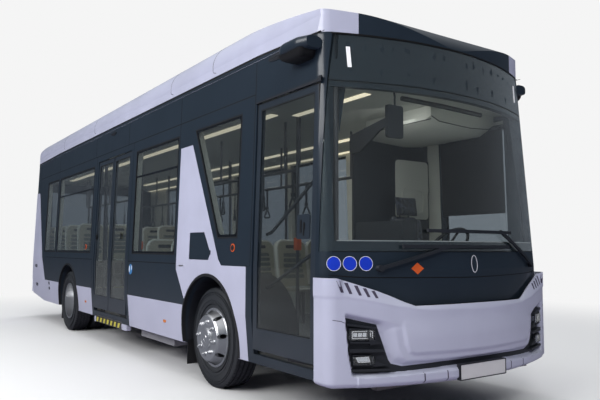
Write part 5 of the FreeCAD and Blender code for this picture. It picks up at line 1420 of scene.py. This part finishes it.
def addPlate(end, place):
    # Blank plate with its pressed rim
    s = plateShape
    bm = bmesh.new()
    addPatch(bm, plateBox(s[end]), place, *s[end + "Depth"])
    addFrame(bm, plateBox(s[end], 0.002, 0.005), plateBox(s[end], 0.005, 0.004), place, *s[end + "Rim"])
    pieceFromBmesh(end + "_plate", bm, "plate", "black_plastic")


def addPlates():
    s = plateShape

    def ahead(y, z, out):
        return Vector((s["frontX"] + out, y, z))

    def behind(y, z, out):
        return Vector((s["rearX"] - out, y, z))
    bm = bmesh.new()
    holder = plateBox(s["holder"], r=0.008)
    addPatch(bm, holder, ahead, *s["holderDepth"])
    addFrame(bm, holder, plateBox(s["holderInner"]), ahead, *s["holderRim"])
    pieceFromBmesh("front_plate_holder", bm, "blackPlastic", "black_plastic")
    addPlate("front", ahead)
    addPlate("rear", behind)


lampShape = {
    "housing": ((0.938, 1.082, 0.676, 0.730, 0.007), (0.943, 1.077, 0.681, 0.725, 0.005)),
    "housingOut": 0.019, "cells": (0.962, 0.994, 1.026, 1.058), "cellOut": 0.014, "diodeOut": 0.009,
    "cell": ((0.0135, 0.688, 0.717, 0.004), (0.0095, 0.692, 0.713, 0.003)),
    "diode": (0.0090, 0.6925, 0.7125, 0.003),
    "fog": ([(0.955, 0.512), (1.040, 0.512), (1.058, 0.548), (0.968, 0.552)],
            [(0.961, 0.517), (1.036, 0.517), (1.050, 0.543), (0.972, 0.547)]),
    "fogOut": 0.018, "fogGlow": [(0.962, 0.518), (1.035, 0.518), (1.049, 0.542), (0.973, 0.546)],
    "fogGlowOut": 0.006,
    "notches": (0.360, 0.560), "notchZ": (0.345, 0.425), "notchLean": 0.004, "notchWidth": 0.009,
    "notchDepth": (-0.004, 0.0008), "notchStep": 0.008,
    "crease": [(1.133, 0.790), (1.160, 0.802), (1.210, 0.810)], "creaseWidth": 0.0045,
    "creaseDepth": (-0.003, 0.0006), "creaseCuts": (-1.2, 1.2, 0.02),
}


def addLamps():
    s = lampShape
    floor = -bumperShape["depth"]
    glow, bowl, notches = bmesh.new(), bmesh.new(), bmesh.new()

    def cell(y, half, low, high, r):
        return roundedBox(y - half, y + half, low, high, r)
    for side in (-1, 1):
        place, skin = bumperSide(side), bumperSkin(side)
        addFrame(bowl, *(roundedBox(*box) for box in s["housing"]), place, floor, floor + s["housingOut"])
        for y in s["cells"]:
            addFrame(bowl, *(cell(y, *size) for size in s["cell"]), place, floor, floor + s["cellOut"])
            addPatch(glow, cell(y, *s["diode"]), place, floor, floor + s["diodeOut"])
        addFrame(bowl, *s["fog"], place, floor, floor + s["fogOut"])
        addPatch(glow, s["fogGlow"], place, floor, floor + s["fogGlowOut"])
        # The notches and the crease line are dark strips on the skin: painted shade of the notches and of
        # the crease
        low, high = s["notchZ"]
        for y in s["notches"]:
            notch = bandOutline([(y, low), (y + s["notchLean"], high)], s["notchWidth"])
            addPatch(notches, notch, skin, *s["notchDepth"], (), gridCuts(low, high, s["notchStep"]))
        addPatch(notches, bandOutline(s["crease"], s["creaseWidth"]), skin, *s["creaseDepth"],
                 gridCuts(*s["creaseCuts"]))
    pieceFromBmesh("lamp_bowls", bowl, "reflector", "lamp_clear")
    pieceFromBmesh("lamp_diodes", glow, "led", "lamp_clear")
    pieceFromBmesh("bumper_notches", notches, "slotShade", "black_plastic")


addFrontDetails()
addPlates()
addLamps()
print("stage: front details")

# Inside: lining, ducts, light strips, seat trim, straps, driver's place, dash and floor trim

liningShape = {
    "gap": 0.0752, "depth": (0.0, 0.003), "sillZ": 1.232, "headZ": 2.508, "topZ": 2.540,
    "right": {"low": ((-4.75, -2.93, 0.705), (-1.61, -0.90, 0.705), (0.52, 2.10, 0.42),
                      (3.42, 3.575, 0.42)),
              "pillars": ((-4.75, -3.937), (-3.153, -3.057), (-1.053, -0.895), (0.515, 0.683)),
              "heads": ((-4.75, -0.92), (0.55, 3.55))},
    "left": {"low": ((-4.75, -2.93, 0.705), (-1.61, 2.10, 0.42)),
             "pillars": ((-4.75, -3.937), (-3.153, -3.057), (-1.083, -1.007), (0.617, 0.693)),
             "heads": ((-4.75, 4.38),)},
    "overWheels": ((-2.93, -1.61), (2.10, 3.42)), "wheelBoxZ": 1.07,
    "quarter": [(1.983, 1.232), (3.545, 1.232), (3.545, 2.508), (3.352, 2.508), (3.337, 1.393),
                (2.955, 1.393), (2.378, 2.508), (1.983, 2.508)],
    "duct": ((1.102, 2.589), (1.104, 2.541), (1.085, 2.532), (1.02, 2.532), (0.93, 2.545), (0.86, 2.565),
             (0.80, 2.589)),
    "ductEnd": 3.40, "reveal": (0.004, -0.002), "revealDepth": (-0.055, 0.004),
    "strip": ((1.098, 2.5315), (1.050, 2.5315), (1.050, 2.5235), (1.098, 2.5215)), "stripInset": 0.02,
    "stripEnd": 3.36, "doorLight": ((3.22, -0.56, 2.583), (4.28, -0.49, 2.5895)),
}


def liningPlace(side):
    return lambda x, z, out: Vector((x, side * (wallY(z) - liningShape["gap"] - out), z))


def addBar(bm, section, x0, x1, side):
    # Bar of one (y, z) section along the bus
    addRings(bm, [[Vector((x, side * y, z)) for y, z in section] for x in (x0, x1)])


def addLining():
    s = liningShape
    for side, word in wallSides:
        place, wall = liningPlace(side), s[word]
        panels, strips = bmesh.new(), bmesh.new()
        for x0, x1, z0 in wall["low"]:
            addPatch(panels, rectangle(x0, x1, z0, s["sillZ"]), place, *s["depth"], (), wallShape["folds"])
        for x0, x1 in s["overWheels"]:
            addPatch(panels, rectangle(x0, x1, s["wheelBoxZ"], s["sillZ"]), place, *s["depth"], (),
                     wallShape["folds"][:1])
        for x0, x1 in wall["pillars"]:
            addPatch(panels, rectangle(x0, x1, s["sillZ"], s["headZ"]), place, *s["depth"])
        addPatch(panels, s["quarter"], place, *s["depth"])
        for x0, x1 in wall["heads"]:
            addPatch(panels, rectangle(x0, x1, s["headZ"], s["topZ"]), place, *s["depth"])
            addBar(panels, s["duct"], x0, min(x1, s["ductEnd"]), side)
            addBar(strips, s["strip"], x0 + s["stripInset"], min(x1, s["stripEnd"]), side)
        for outline in wallShape[word][:4] + [wallShape["quarter"]]:
            addFrame(panels, *(grownOutline(outline, grow) for grow in s["reveal"]), place,
                     *s["revealDepth"])
        if side < 0:
            addBox(strips, *s["doorLight"])
        pieceFromBmesh("wall_lining_" + word, panels, "lining", "lining")
        pieceFromBmesh("light_strip_" + word, strips, "light", "light")


seatShape = {"width": 0.430, "panHigh": 0.430, "backHigh": 0.560, "rake": 0.090, "thick": 0.032,
             "trim": 0.075, "wallY": 0.9018, "aisleY": 0.4518}


def seatPlaces():
    s = seatShape
    places = [(x, y, 0.415) for x in (1.75, 1.0, 0.25, -0.5) for y in (s["wallY"], s["aisleY"])]
    places += [(x, -y, 0.415) for x in (1.75, 1.0) for y in (s["wallY"], s["aisleY"])]
    for x in (-2.05, -2.8, -3.55, -4.33):
        places += [(x, side * y, 0.7) for side in (-1, 1) for y in (s["wallY"], s["aisleY"])]
    return places + [(-4.33, 0.0, 0.7)]


def seatLine(rise, across, out):
    # A point on the seat back: height above the pan, place across it, distance out of its front
    s = seatShape
    lean = s["rake"] * rise / s["backHigh"]
    return Vector((s["thick"] - lean + out, across, s["panHigh"] + rise))


trimShape = {
    "rimR": 0.0215, "rimFlat": 0.55, "rimIn": 0.985, "rimOut": -0.016, "rimFoot": 0.02, "bevel": 0.35,
    "edge": ((0.40, 0.01), (0.42, 0.03)), "edgeTip": 0.422, "edgeDrop": 0.012, "edgeR": 0.011,
    "grip": (0.085, 0.095, 0.055, 0.016), "gripDepth": (-0.002, 0.0012),
    "ribs": 5, "ribFoot": 0.10, "ribPitch": 0.065, "ribHalf": 0.150, "ribTaper": 0.006, "rib": 0.045,
    "ribRound": 0.018, "ribDepth": (-0.002, 0.0045),
    "pad": (0.06, 0.36), "padHalf": 0.17, "padRound": 0.05,
    "padLevels": ((-0.002, 0.0), (0.003, 0.0), (0.006, 0.006)),
}


def addSeatTrim():
    s, t = seatShape, trimShape
    half, high, trim = s["width"] / 2, s["backHigh"], s["trim"]
    bevel = trim * t["bevel"]
    corner = [(half - trim, high), (half - bevel, high - bevel), (half, high - trim), (half, t["rimFoot"])]
    corners = [(-y, z) for y, z in corner[::-1]] + corner
    part = bmesh.new()
    addTube(part, [seatLine(z, y * t["rimIn"], t["rimOut"]) for y, z in corners], t["rimR"], 8,
            flat=t["rimFlat"])
    edgeZ = s["panHigh"] - t["edgeDrop"]
    (rootX, rootIn), (bendX, bendIn) = t["edge"]
    addTube(part, [Vector((rootX, -half + rootIn, edgeZ)), Vector((bendX, -half + bendIn, edgeZ)),
                   Vector((t["edgeTip"], half - bendIn, edgeZ)), Vector((rootX, half - rootIn, edgeZ))],
            t["edgeR"], 8)
    places = [(place, (0.0, 0.0, 0.0)) for place in seatPlaces()]
    copyPiece("seat_rims", part, places, "lining", "seat", 40)

    def front(y, z, out):
        return seatLine(z, y, out)

    def back(y, z, out):
        return seatLine(z, y, -s["thick"] - out)
    part = bmesh.new()
    gripHalf, gripLow, gripHigh, r = t["grip"]
    for face in (front, back):
        addPatch(part, roundedBox(-gripHalf, gripHalf, high - gripLow, high - gripHigh, r), face,
                 *t["gripDepth"])
    copyPiece("seat_grips", part, places, "black", "black_plastic")
    part = bmesh.new()
    for k in range(t["ribs"]):
        low, ribHalf = t["ribFoot"] + t["ribPitch"] * k, t["ribHalf"] - t["ribTaper"] * k
        addPatch(part, roundedBox(-ribHalf, ribHalf, low, low + t["rib"], t["ribRound"]), front,
                 *t["ribDepth"])
    (x0, x1), y = t["pad"], t["padHalf"]
    addRings(part, [[Vector((px, py, s["panHigh"] + z)) for px, py in
                     roundedBox(x0 + cut, x1 - cut, -y + cut, y - cut, t["padRound"])]
                    for z, cut in t["padLevels"]])
    copyPiece("seat_pads", part, places, "seatPad", "seat")


strapShape = {
    "loopR": 0.021, "loopSides": 14, "cord": 0.0042, "gripR": 0.0105,
    "boxes": (((-0.015, -0.0035, -0.235), (0.015, 0.0035, -0.019)),
              ((-0.019, -0.010, -0.262), (0.019, 0.010, -0.225))),
    "grip": ((0.0, -0.262), (0.016, -0.285), (0.052, -0.352), (0.048, -0.366), (0.030, -0.370),
             (-0.030, -0.370), (-0.048, -0.366), (-0.052, -0.352), (-0.016, -0.285)),
    "spans": ((-1, -3.75, -1.45), (-1, 1.10, 2.95), (1, -3.75, 2.95)), "pitch": 0.42, "railY": 0.430,
    "railZ": 2.080, "posts": (2.9, 1.5, 0.1, -1.5, -2.7, -3.9), "clear": 0.06, "shift": 0.09, "sway": 0.35,
}


def addStraps():
    # Strap handles along the rails, each turned a little differently and kept off the posts
    s = strapShape
    part = bmesh.new()
    angles = [2 * math.pi * k / s["loopSides"] for k in range(s["loopSides"])]
    addTube(part, [Vector((s["loopR"] * math.cos(a), 0, s["loopR"] * math.sin(a))) for a in angles],
            s["cord"], 6, loop=True)
    for low, high in s["boxes"]:
        addBox(part, low, high)
    addTube(part, [Vector((x, 0, z)) for x, z in s["grip"]], s["gripR"], 8, loop=True)
    places = []
    for side, x0, x1 in s["spans"]:
        steps = int((x1 - x0) / s["pitch"])
        for k in range(steps + 1):
            x = x0 + (x1 - x0) * k / steps
            if min(abs(x - post) for post in s["posts"]) < s["clear"]:
                x += s["shift"]
            turn = s["sway"] * math.sin((len(places) + 1) * 2.3)
            places.append(((x, side * s["railY"], s["railZ"]), (0.0, 0.0, turn)))
    copyPiece("hanging_straps", part, places, "blackPlastic", "black_plastic", 35)


cushionShape = {"cells": 22, "pull": 0.035, "edge": 0.30, "channel": 0.10, "channelWidth": 0.05,
                "channelV": 0.62, "channelU": 0.1, "foot": 0.99, "fill": 0.8}


def addCushion(name, centre, size, lean):
    # Crowned pad whose sides pull in between its corners, flat underneath
    s = cushionShape
    lengthX, lengthY, high = size
    count = s["cells"]
    bm = bmesh.new()
    top, low = [], []
    for i in range(count + 1):
        rowTop, rowLow = [], []
        for j in range(count + 1):
            u, v = 2 * i / count - 1, 2 * j / count - 1
            x = u * lengthX / 2 * (1 - s["pull"] * (1 - v * v))
            y = v * lengthY / 2 * (1 - s["pull"] * (1 - u * u))
            crown = (1 - u ** 6) ** 0.5 * (1 - v ** 6) ** 0.5
            along = math.exp(-((abs(v) - s["channelV"]) / s["channelWidth"]) ** 2)
            across = math.exp(-((u - s["channelU"]) / s["channelWidth"]) ** 2) * (abs(v) < s["channelV"])
            rise = high * (s["edge"] + (1 - s["edge"]) * crown) * (1 - s["channel"] * (along + across))
            rowTop.append(bm.verts.new((x, y, rise)))
            rowLow.append(bm.verts.new((x * s["foot"], y * s["foot"], 0)))
        top.append(rowTop)
        low.append(rowLow)
    for i in range(count):
        for j in range(count):
            bm.faces.new((top[i][j], top[i + 1][j], top[i + 1][j + 1], top[i][j + 1]))
            bm.faces.new((low[i][j], low[i][j + 1], low[i + 1][j + 1], low[i + 1][j]))
    for k in range(count):
        for (i, j), (m, n) in (((0, k), (0, k + 1)), ((count, k + 1), (count, k)), ((k + 1, 0), (k, 0)),
                               ((k, count), (k + 1, count))):
            bm.faces.new((top[i][j], top[m][n], low[m][n], low[i][j]))
    turn = Matrix.Translation(Vector(centre)) @ Matrix.Rotation(lean, 4, "Y")
    bmesh.ops.transform(bm, matrix=turn, verts=bm.verts)
    piece = pieceFromBmesh(name, bm, "driverFabric", "driver_fabric", 50)


driverShape = {
    "seat": ((3.785, 0.640, 1.0705), (0.375, 0.415, 0.075)),
    "back": ((3.5435, 0.640, 1.378), (0.46, 0.40, 0.06)),
    "head": ((3.512, 0.640, 1.735), (0.19, 0.27, 0.055)), "rake": (0.090, 0.560),
    "posts": (0.58, 0.70), "postRun": ((3.50, 1.60), (3.487, 1.70)), "postR": 0.008,
    "crossHead": ((3.3605, 0.062, 2.2505), (3.3895, 1.10, 2.430)), "asideY": 0.045, "asideHalf": 0.013,
    "asideHead": [(3.3605, 2.2505), (3.52, 2.2505), (3.80, 2.42), (3.95, 2.455), (3.95, 2.535),
                  (3.3605, 2.430)],
    "panelX": 3.3905, "panel": (0.62, 1.095, 1.62, 2.24), "panelRound": 0.05,
    "panelDepth": (-0.0002, 0.010), "recessDepth": (0.008, 0.022), "blindDepth": (0.002, 0.005),
    "recess": (((0.70, 1.03, 1.66, 1.95), 0.09), ((0.72, 1.01, 1.68, 1.93), 0.08)),
    "header": ((0.20, 2.588), (0.20, 2.455), (0.30, 2.395), (0.72, 2.372), (0.98, 2.395), (1.085, 2.46),
               (1.085, 2.588)),
    "headerX": (3.42, 4.20), "headerTip": (4.30, 0.98, 0.72),
    "rods": (([(3.50, 0.198, 2.462), (4.30, 0.198, 2.462)], 0.004, 8),
             ([(4.303, 0.205, 2.49), (4.304, 0.30, 2.452), (4.304, 0.72, 2.435), (4.304, 0.98, 2.452),
               (4.303, 1.075, 2.50)], 0.004, 8),
             ([(4.615, -0.46, 2.490), (4.625, 0.0, 2.484), (4.600, 0.50, 2.478)], 0.020, 14)),
    "blind": (3.575, 4.365, 1.66, 2.47), "roller": ((3.570, 4.370), 2.478, 0.02, 0.016, 12),
    "hem": ((3.575, 4.365), 1.655, 0.006, 0.006, 8),
    "mirror": (-0.649, -0.484, 2.159, 2.414, 0.020), "mirrorX": 4.640, "mirrorHalf": 0.014,
    "stalk": [(4.645, -0.566, 2.40), (4.650, -0.570, 2.48), (4.640, -0.574, 2.588)],
    "stalkR": 0.008, "mirrorFace": (-0.640, -0.493, 2.168, 2.405, 0.015), "mirrorFaceX": 4.626,
    "mirrorFaceDepth": (0.0, 0.0015),
}


def addDriverPlace():
    # Seat cushions, partition head, recess behind the driver, header box, blinds and mirror
    s = driverShape
    lean = math.atan2(*s["rake"])
    addCushion("driver_seat_cushion", *s["seat"], 0.0)
    addCushion("driver_back_cushion", *s["back"], math.pi / 2 - lean)
    addCushion("driver_headrest", *s["head"], math.pi / 2 - lean)
    bm = bmesh.new()
    for y in s["posts"]:
        addTube(bm, [(x, y, z) for x, z in s["postRun"]], s["postR"], 16)
    pieceFromBmesh("headrest_posts", bm, "pole", "pole", 40)
    bm = bmesh.new()
    addBox(bm, *s["crossHead"])
    addPatch(bm, s["asideHead"], lambda x, z, out: Vector((x, s["asideY"] + out, z)), -s["asideHalf"],
             s["asideHalf"])
    pieceFromBmesh("partition_head", bm, "blackPlastic", "black_plastic")
    bm = bmesh.new()

    def facing(y, z, out):
        return Vector((s["panelX"] + out, y, z))
    addPatch(bm, roundOutline(rectangle(*s["panel"]), s["panelRound"]), facing, *s["panelDepth"])
    addFrame(bm, *(roundOutline(rectangle(*box), r) for box, r in s["recess"]), facing,
             *s["recessDepth"])
    box, (tipX, narrow, shallow) = s["header"], s["headerTip"]
    y0, z0 = box[0]
    addRings(bm, [[Vector((x, y, z)) for y, z in box] for x in s["headerX"]]
             + [[Vector((tipX, y0 + (y - y0) * narrow, z0 - (z0 - z) * shallow)) for y, z in box]])
    pieceFromBmesh("driver_lining", bm, "lining", "lining", 40)
    bm = bmesh.new()
    for points, r, sides in s["rods"]:
        addTube(bm, points, r, sides)
    place = liningPlace(1)
    addPatch(bm, rectangle(*s["blind"]), place, *s["blindDepth"])
    for xs, z, out, r, sides in (s["roller"], s["hem"]):
        addTube(bm, [place(x, z, out) for x in xs], r, sides)
    pieceFromBmesh("driver_blinds", bm, "black", "black_plastic", 40)
    bm = bmesh.new()
    addPatch(bm, roundedBox(*s["mirror"]), lambda y, z, out: Vector((s["mirrorX"] + out, y, z)),
             -s["mirrorHalf"], s["mirrorHalf"])
    addTube(bm, s["stalk"], s["stalkR"], 10)
    pieceFromBmesh("inner_mirror", bm, "blackPlastic", "black_plastic")
    patchPiece("inner_mirror_face", [roundedBox(*s["mirrorFace"])],
               lambda y, z, out: Vector((s["mirrorFaceX"] - out, y, z)), *s["mirrorFaceDepth"],
               "reflector", "black_plastic")


dashShape = {
    "cowl": ((4.345, 1.165), (4.435, 1.292), (4.475, 1.345), (4.53, 1.352), (4.60, 1.292)),
    "cowlY": (0.42, 0.86), "vents": (0.12, 0.98), "ventX": (4.50, 4.62), "ventHalf": 0.06,
    "ventZ": (1.290, 1.296), "slope": (0.090, 0, 0.127),
    "screen": (0.46, 0.82, 0.020, 0.140, 0.012), "screenDepth": (-0.001, 0.0015),
    "dials": (0.54, 0.74), "dialT": 0.080, "ringDepth": (0.001, 0.004), "needleDepth": (0.001, 0.003),
    "dialRing": (0.048, 0.044), "needle": (0.022, 0.030), "needleWidth": 0.004,
    "switch": (-0.013, 0.013, -0.009, 0.009, 0.003), "switchDepth": (-0.001, 0.007),
    "banks": (0.04, 0.895), "rows": 3, "perRow": 5,
    "switchX": 4.480, "pitch": 0.030, "switchZ": 1.2905,
}


def addDash():
    # Dial cowl, vents, screen, dials and switches on the dash
    s = dashShape
    bm = bmesh.new()
    addRings(bm, [[Vector((x, y, z)) for x, z in s["cowl"]] for y in s["cowlY"]])
    for y in s["vents"]:
        addBox(bm, (s["ventX"][0], y - s["ventHalf"], s["ventZ"][0]),
               (s["ventX"][1], y + s["ventHalf"], s["ventZ"][1]))
    pieceFromBmesh("dial_cowl", bm, "blackPlastic", "black_plastic")
    footX, footZ = s["cowl"][0]
    slope = Vector(s["slope"]).normalized()
    face = Vector((-slope.z, 0, slope.x))

    def onDial(y, t, out):
        return Vector((footX, y, footZ)) + slope * t + face * out
    patchPiece("dial_screen", [roundedBox(*s["screen"])], onDial, *s["screenDepth"], "display",
               "black_plastic")
    bm = bmesh.new()
    for y in s["dials"]:
        t = s["dialT"]
        addFrame(bm, *(ellipse(y, t, r, r) for r in s["dialRing"]), onDial, *s["ringDepth"])
        needle = [(y, t), (y + s["needle"][0], t + s["needle"][1])]
        addPatch(bm, bandOutline(needle, s["needleWidth"]), onDial, *s["needleDepth"])
    pieceFromBmesh("dial_rings", bm, "silver", "frame_steel")
    part = bmesh.new()
    addPatch(part, roundedBox(*s["switch"]), lambda u, v, out: Vector((u, v, out)), *s["switchDepth"])
    places = [((s["switchX"] + s["pitch"] * row, y + s["pitch"] * k, s["switchZ"]), (0.0, 0.0, 0.0))
              for row in range(s["rows"]) for k in range(s["perRow"]) for y in s["banks"]]
    copyPiece("dash_switches", part, places, "blackPlastic", "black_plastic")


floorTrimShape = {
    "edges": (((-1.512, -1.14, 0.7002), (-1.488, 1.14, 0.7030)),
              ((-0.86, -1.162, 0.4155), (0.48, -1.13, 0.4185)),
              ((3.61, -1.162, 0.4155), (4.49, -1.13, 0.4185))),
    "stops": ((3.2, -0.48, 1.35), (0.62, -0.48, 1.35), (-1.0, -0.48, 1.35), (1.54, 0.48, 1.35),
              (-2.26, -0.48, 1.65)),
    "stopHalf": Vector((0.024, 0.028, 0.06)),
}


def addFloorTrim():
    # Yellow edges at the step and the doors, and stop buttons on the posts
    s = floorTrimShape
    edges, boxes = bmesh.new(), bmesh.new()
    for low, high in s["edges"]:
        addBox(edges, low, high)
    for stop in s["stops"]:
        addBox(boxes, Vector(stop) - s["stopHalf"], Vector(stop) + s["stopHalf"])
    pieceFromBmesh("step_edges", edges, "yellow", "floor")
    pieceFromBmesh("stop_boxes", boxes, "signOrange", "black_plastic")


addLining()
addSeatTrim()
addStraps()
addDriverPlace()
addDash()
addFloorTrim()
print("stage: inside")

# Rear: lenses, seals, gaps, reflectors, markers, display and hatch slats

rearShape = {
    "lenses": {"red": ("red", ((0.890, 1.090), (1.290, 1.450))), "amber": ("amber", ((1.196, 1.284),)),
               "silver": ("reflector", ((1.096, 1.190),))},
    "lensY": (0.966, 1.054), "lensRound": 0.010, "lensDepth": (-0.001, 0.0035),
    "cluster": (0.955, 1.065, 0.875, 1.465, 0.014), "clusterSeal": -0.008, "clusterDepth": (-0.004, 0.0030),
    "bars": (1.093, 1.193, 1.287), "barY": (0.962, 1.058), "barHalf": 0.0022, "barDepth": (-0.002, 0.0030),
    "pane": (-0.888, 0.888, 1.612, 2.428, 0.020), "paneSeal": -0.014, "paneDepth": (-0.006, 0.0020),
    "gaps": (0.730, 1.500, 2.520), "gapReach": 1.06, "gapHalf": 0.004, "gapDepth": (-0.003, 0.0006),
    "sideGap": (0.916, 0.925, 0.76, 1.50), "reflector": (0.930, 1.050, 0.560, 0.610, 0.008),
    "reflectorDepth": (-0.001, 0.0080), "markerDepth": (-0.001, 0.0060), "displayDepth": (-0.001, 0.0030),
    "markers": (-0.95, 0.0, 0.95), "marker": (0.060, 2.680, 2.712, 0.010),
    "display": (-0.34, 0.34, 2.555, 2.655, 0.010), "slats": 9, "slatFoot": 0.840, "slatPitch": 0.042,
    "slat": (0.640, 0.024, 0.006), "slatDepth": (-0.002, 0.0060),
    "catches": (-0.5, 0.5), "catch": (0.045, 0.785, 0.815, 0.006), "catchDepth": (-0.002, 0.0040),
    "cuts": (-1.08, 1.08, 0.04), "slatCuts": (-0.64, 0.64, 0.08),
}


def mirroredBoxes(y0, y1, z0, z1, r=None):
    # The same box, with or without rounded corners, at the right and at the left
    make = rectangle if r is None else lambda *box: roundedBox(*box, r)
    return [make(*sorted((side * y0, side * y1)), z0, z1) for side in (-1, 1)]


def addRear():
    s = rearShape
    cuts = gridCuts(*s["cuts"])
    for word, (look, spans) in s["lenses"].items():
        boxes = [box for z0, z1 in spans for box in mirroredBoxes(*s["lensY"], z0, z1, s["lensRound"])]
        patchPiece("rear_lens_" + word, boxes, onRear, *s["lensDepth"], look, "lamp_clear", cuts)
    bm = bmesh.new()
    for outline in mirroredBoxes(*s["cluster"]):
        addFrame(bm, outline, grownOutline(outline, s["clusterSeal"]), onRear, *s["clusterDepth"])
    for z in s["bars"]:
        for outline in mirroredBoxes(*s["barY"], z - s["barHalf"], z + s["barHalf"]):
            addPatch(bm, outline, onRear, *s["barDepth"], cuts)
    pane = roundedBox(*s["pane"])
    addFrame(bm, pane, grownOutline(pane, s["paneSeal"]), onRear, *s["paneDepth"])
    pieceFromBmesh("rear_seals", bm, "rubber", "rubber")
    bm = bmesh.new()
    for z in s["gaps"]:
        addPatch(bm, rectangle(-s["gapReach"], s["gapReach"], z - s["gapHalf"], z + s["gapHalf"]), onRear,
                 *s["gapDepth"], cuts)
    for outline in mirroredBoxes(*s["sideGap"]):
        addPatch(bm, outline, onRear, *s["gapDepth"])
    pieceFromBmesh("rear_gaps", bm, "seam", "rubber", 20)
    patchPiece("rear_reflectors", mirroredBoxes(*s["reflector"]), onRear, *s["reflectorDepth"], "red",
               "lamp_clear", cuts)
    half, z0, z1, r = s["marker"]
    patchPiece("rear_markers", [roundedBox(y - half, y + half, z0, z1, r) for y in s["markers"]], onRear,
               *s["markerDepth"], "red", "lamp_clear", cuts)
    patchPiece("rear_display", [roundedBox(*s["display"])], onRear, *s["displayDepth"], "display",
               "black_plastic", cuts)
    bm = bmesh.new()
    half, high, r = s["slat"]
    for k in range(s["slats"]):
        z = s["slatFoot"] + s["slatPitch"] * k
        addPatch(bm, roundedBox(-half, half, z, z + high, r), onRear, *s["slatDepth"],
                 gridCuts(*s["slatCuts"]))
    half, z0, z1, r = s["catch"]
    for y in s["catches"]:
        addPatch(bm, roundedBox(y - half, y + half, z0, z1, r), onRear, *s["catchDepth"])
    pieceFromBmesh("hatch_slats", bm, "blackPlastic", "black_plastic", body="hatch")


addRear()
print("stage: rear details")
